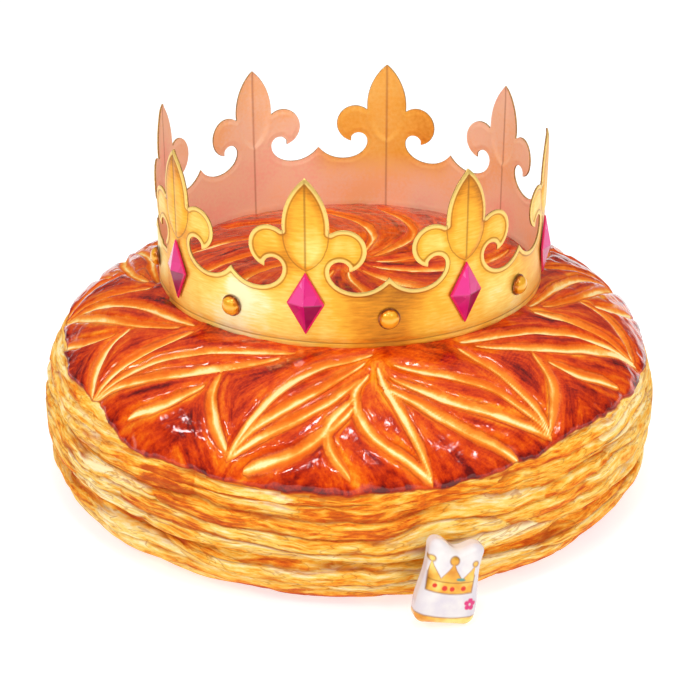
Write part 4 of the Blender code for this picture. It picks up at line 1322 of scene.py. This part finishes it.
pink_acrylic, tree, shader = new_material("moulded_pink_acrylic")
spot = add_node(tree, "Attribute", out="Vector", attribute_name="own_place")
shards = add_node(tree, "TexVoronoi", {"Vector": spot, "Scale": every(5.9)}, out="Color", feature="F1")
painted_sparkle = add_node(tree, "SeparateXYZ", (shards,))
lit = add_node(tree, "Attribute", out="Fac", attribute_name="painted_facet_light")
tone = add_node(tree, "Math", (painted_sparkle, 0.25), operation="MULTIPLY")
tone = add_node(tree, "Math", (tone, lit), operation="ADD")
pink = add_node(tree, "ValToRGB", (tone,), ramp=PINKS)
girdle = add_node(tree, "Attribute", out="Fac", attribute_name="to_girdle")
girdle = add_node(tree, "MapRange", (girdle, 0.86, 0.92))
pink = add_node(tree, "Mix", {0: girdle, 6: pink, 7: "#e2185e"}, out=2, data_type="RGBA")
fill_in(shader, {"Base Color": pink, "Roughness": 0.12, "IOR": 1.49})
fill_in(shader, {"Coat Weight": 0.4, "Coat Roughness": 0.04})
gem.data.materials.append(pink_acrylic)
print("gem finish:", pink_acrylic.name)
own = points_of(gem)
paint(gem, "own_place", own * MM)
to_side, to_end = np.abs(own[:, 0]) / (0.5 * GEM_WIDTH), np.abs(own[:, 1]) / (0.5 * GEM_HEIGHT)
paint(gem, "to_girdle", to_side + to_end)
# Painted light: the upper left facet lightest, the lower right darkest.
left, top = own[:, 0] < 0.0, own[:, 1] > 0.0
paint(gem, "painted_facet_light", np.where(left & top, 0.56, np.where(left, 0.3, np.where(top, 0.38, -0.04))))
for i in range(FLEURS):
    place_copy(gem, f"gem_stone_{i + 1}", on_band(i, GEM_LIFT), f"gem_{i + 1}", slot="gem")
bpy.data.objects.remove(gem)

# %% [markdown]
# ## The studs
#
# Each stud is a small lacquered dome on a thin rim, turned round its own axis, so a line of
# points is drawn as its half section and spun.

# %% Turn one stud
STUD_DIAMETER = 8.6
STUD_DOME = 2.9  # how high the dome stands on its rim
STUD_RIM = 0.4
STUD_LIFT = 12.0


def turned(name, section, sides):
    """A closed round piece from its half section, (radius, height) from axis to axis."""
    bpy.ops.object.select_all(action="DESELECT")
    bpy.ops.mesh.primitive_plane_add(size=0.001)
    made = bpy.context.object
    made.name = name
    bpy.ops.object.mode_set(mode="EDIT")
    bpy.ops.mesh.select_mode(type="VERT")
    bpy.ops.mesh.select_all(action="SELECT")
    bpy.ops.mesh.merge(type="CENTER")
    bpy.ops.transform.translate(value=(section[0][0] * MM, 0.0, section[0][1] * MM))
    for (r0, z0), (r1, z1) in zip(section, section[1:]):
        move = ((r1 - r0) * MM, 0.0, (z1 - z0) * MM)
        bpy.ops.mesh.extrude_region_move(TRANSFORM_OT_translate={"value": move})
    bpy.ops.mesh.select_all(action="SELECT")
    bpy.ops.mesh.spin(steps=sides, angle=2.0 * math.pi, center=(0.0, 0.0, 0.0), axis=(0.0, 0.0, 1.0))
    bpy.ops.mesh.select_all(action="SELECT")
    bpy.ops.mesh.remove_doubles(threshold=1e-6)
    bpy.ops.mesh.normals_make_consistent(inside=False)
    bpy.ops.object.mode_set(mode="OBJECT")
    bpy.ops.object.shade_smooth_by_angle(angle=math.radians(50.0))
    return made


rim = 0.5 * STUD_DIAMETER
dome = 0.88 * rim
section = [(0.0, 0.0), (rim - 0.15, 0.0)] + arc((rim - 0.2, 0.2), (0.2, 0.2), -60.0, 60.0, 4)
section += [(rim - 0.25, STUD_RIM), (dome + 0.15, STUD_RIM - 0.08)]
section += arc((0.0, STUD_RIM), (dome, STUD_DOME), 0.0, 84.0, 10) + [(0.0, STUD_RIM + STUD_DOME)]
stud = turned("stud", section, 40)
print("one stud:", len(stud.data.polygons), "faces")

# %% Amber lacquer, and eight copies between the fleurs
# Lacquer with mica in it, dipped over a plastic dome. Its colour is painted from a dark shade at
# the foot to a highlight at the top, where the ramp's last colour is reached at once.
AMBERS = ((0.45, "#7c3e04"), (0.66, "#cc6a02"), (1.0, "#ea8c08"), (1.0, "#fcb42c"))

amber_lacquer, tree, shader = new_material("pearly_amber_lacquer")
spot = add_node(tree, "Attribute", out="Vector", attribute_name="own_place")
up = add_node(tree, "SeparateXYZ", (spot,), out=2)
pearl = add_node(tree, "TexNoise", {"Vector": spot, "Scale": every(2.0), "Detail": 3.0})
# Painted light: darker low on the dome, lighter towards its top.
tone = add_node(tree, "MapRange", (up, 0.3 * MM, 3.2 * MM))
tone = add_node(tree, "Math", (tone, pearl), operation="ADD")
amber = add_node(tree, "ValToRGB", (tone,), ramp=AMBERS)
fill_in(shader, {"Base Color": amber, "Metallic": 0.25, "Roughness": 0.18})
fill_in(shader, {"Coat Weight": 0.5, "Coat Roughness": 0.05})
stud.data.materials.append(amber_lacquer)
print("stud finish:", amber_lacquer.name)
paint(stud, "own_place", points_of(stud) * MM)
for i in range(FLEURS):
    place_copy(stud, f"stud_dome_{i + 1}", on_band(i + 0.5, STUD_LIFT), f"stud_{i + 1}", slot="stud")
bpy.data.objects.remove(stud)

# %% [markdown]
# ## The feve
#
# The charm is slip-cast porcelain: a soft block with two raised shoulders, a white glaze, and
# gold and colour painted over the glaze. A cube is divided finely, pressed into the rounded
# shape by the solid's own rules, and painted point by point with simple shapes: a plain gold
# crown of three points, red dots, a small pink flower and a gilded foot.

# %% Shape the block
FEVE_WIDTH = 24.0
FEVE_HEIGHT = 33.0
FEVE_DEPTH = 11.5
FEVE_CORNER = 3.6
FEVE_FIT = 0.98  # a little smaller than its solid, to stay inside it
# The rules of its shape, as shares of its width, depth or height, and the dip in its top.
FEVE_PILLOW = 0.25
FEVE_WAIST = 0.07
FEVE_FULLEST = 0.22
FEVE_DIP = 3.0
FEVE_DIP_REACH = 0.65
FEVE_LEFT_RISE = 0.2
# Where it leans: degrees round the pie, its two slants, and how far from the pie's middle.
FEVE_ANGLE = 14.0
FEVE_LEAN = 8.0
FEVE_ROLL = 12.0
FEVE_DISTANCE = 138.65
FEVE_FLOOR_GAP = 0.1

bpy.ops.object.select_all(action="DESELECT")
bpy.ops.mesh.primitive_cube_add(size=2.0)
feve = bpy.context.object
feve.name = "feve_charm"
bpy.ops.object.mode_set(mode="EDIT")
bpy.ops.mesh.select_all(action="SELECT")
bpy.ops.mesh.subdivide(number_cuts=84)
bpy.ops.object.mode_set(mode="OBJECT")
half = np.array((0.5 * FEVE_WIDTH, 0.5 * FEVE_DEPTH, 0.5 * FEVE_HEIGHT))
core = half - FEVE_CORNER
block = points_of(feve) * MM * half
inner = np.clip(block, -core, core)
away = block - inner
block = inner + FEVE_CORNER * away / np.linalg.norm(away, axis=1)[:, None]
across, up = block[:, 0] / half[0], 0.5 + 0.5 * block[:, 2] / half[2]
block[:, 0] *= 1.0 - FEVE_WAIST * (1.0 - np.cos(2.0 * np.pi * (up - FEVE_FULLEST)))
block[:, 1] *= 1.0 - FEVE_PILLOW * (1.0 - (1.0 - across**2) * (1.0 - (2.0 * up - 1.0) ** 4))
dip = np.cos(0.5 * np.pi * np.minimum(np.abs(across) / FEVE_DIP_REACH, 1.0)) ** 2
block[:, 2] += half[2] - FEVE_DIP * up**5 * (dip + FEVE_LEFT_RISE * across)
block *= FEVE_FIT
move_points(feve, block)
print("the charm is", np.ptp(block, axis=0).round(1), "mm")

# %% Paint the decoration
# Places on its front are in mm to the right of the painted crown's middle and up from the foot.
CROWN_TOP = (
    (-8.8, 20.6), (-8.2, 25.4), (-7.2, 23.2), (-4.0, 18.8), (-1.4, 22.2), (0.0, 25.0),
    (1.4, 22.2), (4.0, 18.8), (7.0, 22.4), (8.2, 24.4), (8.6, 20.4),
)
BALLS = ((-8.2, 25.9, 1.1), (0.0, 25.8, 1.7), (8.3, 25.0, 1.1))
RED_DOTS = ((-5.8, 15.9, 0.9), (-2.0, 15.1, 1.05), (0.9, 15.0, 0.95), (5.2, 15.4, 1.0))
FAR_OUTSIDE = -9.0  # instead of a depth inside a painted shape, where there is none
CROWN_LEFT = 1.0  # the painted crown is this much left of the middle

front = block[:, 1] < 0.0
x, z = block[:, 0] + CROWN_LEFT, block[:, 2]


def disc(at_x, at_z, radius):
    """How deep each point lies inside a disc, in mm: less than 0 is outside."""
    return radius - np.hypot(x - at_x, z - at_z)


line_x, line_z = zip(*CROWN_TOP)
below_top, above_band = np.interp(x, line_x, line_z) - z, z - 13.0 - 0.012 * x**2
inside = np.minimum.reduce([below_top, above_band, 8.7 - np.abs(x)])
inside = np.maximum.reduce([inside, *(disc(*ball) for ball in BALLS)])
inside = np.where(front, inside, FAR_OUTSIDE)
foot = 3.4 + 0.008 * x**2 - z
gilt = np.maximum(inside, foot)
paint(feve, "gilt", smooth_step(gilt / 0.5 + 0.5))
band_line = np.where(inside > 0.0, np.abs(z - 17.4 - 0.012 * x**2), -FAR_OUTSIDE)
paint(feve, "gilt_line", np.exp(-((np.minimum(np.abs(gilt), band_line) / 0.28) ** 2)))
petals = np.radians(np.arange(90, 450, 72))
drawn = {
    "red": [disc(*dot) for dot in RED_DOTS],
    "pink": [disc(9.0 + 1.35 * math.cos(a), 9.2 + 1.5 * math.sin(a), 1.0) for a in petals],
    "teal": [1.0 - np.hypot((x - 3.6) / 1.8, (z - 18.8) / 0.65)],
}
for name, shapes in drawn.items():
    depth = np.where(front, np.maximum.reduce(shapes), FAR_OUTSIDE)
    paint(feve, name, smooth_step(depth / 0.4 + 0.5))
paint(feve, "own_place", block * MM)
# Painted shade: lavender-grey towards the sides and the foot.
at_sides, low_down = smooth_step((np.abs(x) / half[0] - 0.45) / 0.5), smooth_step((12.0 - z) / 8.0)
paint(feve, "painted_edge_shade", at_sides * 0.75 + 0.25 * low_down)
print("the decoration has", len(BALLS), "balls,", len(RED_DOTS), "dots and", len(petals), "petals")

# %% Lean it on the pie
turn = (
    Matrix.Rotation(math.radians(FEVE_ANGLE), 4, "Z")
    @ Matrix.Rotation(math.radians(-FEVE_LEAN), 4, "X")
    @ Matrix.Rotation(math.radians(FEVE_ROLL), 4, "Y")
)
feve.data.transform(turn)
low_z = points_of(feve)[:, 2].min()
foot_angle = math.radians(FEVE_ANGLE)
east, south = FEVE_DISTANCE * math.sin(foot_angle), FEVE_DISTANCE * math.cos(foot_angle)
stand = Vector((east, -south, FEVE_FLOOR_GAP - low_z))
feve.data.transform(Matrix.Translation(stand * MM))
bpy.ops.object.shade_smooth()
hand_over(feve, "porcelain", "feve")

# %% Glazed porcelain
# Slip-cast porcelain, glazed, then painted and gilded by hand: glassy white, with soft lavender
# painted shade towards its sides and its foot.
WHITES = ((0.3, "#d8ced6"), (0.5, "#e8e0de"), (0.7, "#f0eae6"))
GILDING = ((0.35, "#d98a1c"), (0.5, "#efb03a"), (0.65, "#fbd672"))
PAINTS = (  # mask, colour, and how well it covers
    ("gilt_line", "#8a5216", 0.75),
    ("red", "#d8280e", 1.0),
    ("pink", "#d81a70", 1.0),
    ("teal", "#3f8f86", 0.9),
)

glazed_porcelain, tree, shader = new_material("glazed_porcelain_with_overglaze_paint")
spot = add_node(tree, "Attribute", out="Vector", attribute_name="own_place")
clouds = add_node(tree, "TexNoise", {"Vector": spot, "Scale": every(8.3), "Detail": 3.0})
finish = add_node(tree, "ValToRGB", (clouds,), ramp=WHITES)
# Painted shade towards the sides and the foot, broken up by the clouds.
edge_shade = add_node(tree, "Attribute", out="Fac", attribute_name="painted_edge_shade")
edge_shade = add_node(tree, "Math", (edge_shade, clouds), operation="MULTIPLY")
finish = add_node(tree, "Mix", {0: edge_shade, 6: finish, 7: "#bdb2c4"}, out=2, data_type="RGBA")
gilding = add_node(tree, "ValToRGB", (clouds,), ramp=GILDING)
gold = add_node(tree, "Attribute", out="Fac", attribute_name="gilt")
finish = add_node(tree, "Mix", {0: gold, 6: finish, 7: gilding}, out=2, data_type="RGBA")
for name, shade, strength in PAINTS:
    mask = add_node(tree, "Attribute", out="Fac", attribute_name=name)
    mask = add_node(tree, "Math", (mask, strength), operation="MULTIPLY")
    finish = add_node(tree, "Mix", {0: mask, 6: finish, 7: shade}, out=2, data_type="RGBA")
metal = add_node(tree, "Math", (gold, 0.4), operation="MULTIPLY")
fill_in(shader, {"Base Color": finish, "Metallic": metal, "Roughness": 0.16})
fill_in(shader, {"Coat Weight": 0.4, "Coat Roughness": 0.05})
feve.data.materials.append(glazed_porcelain)
print("charm finish:", glazed_porcelain.name)
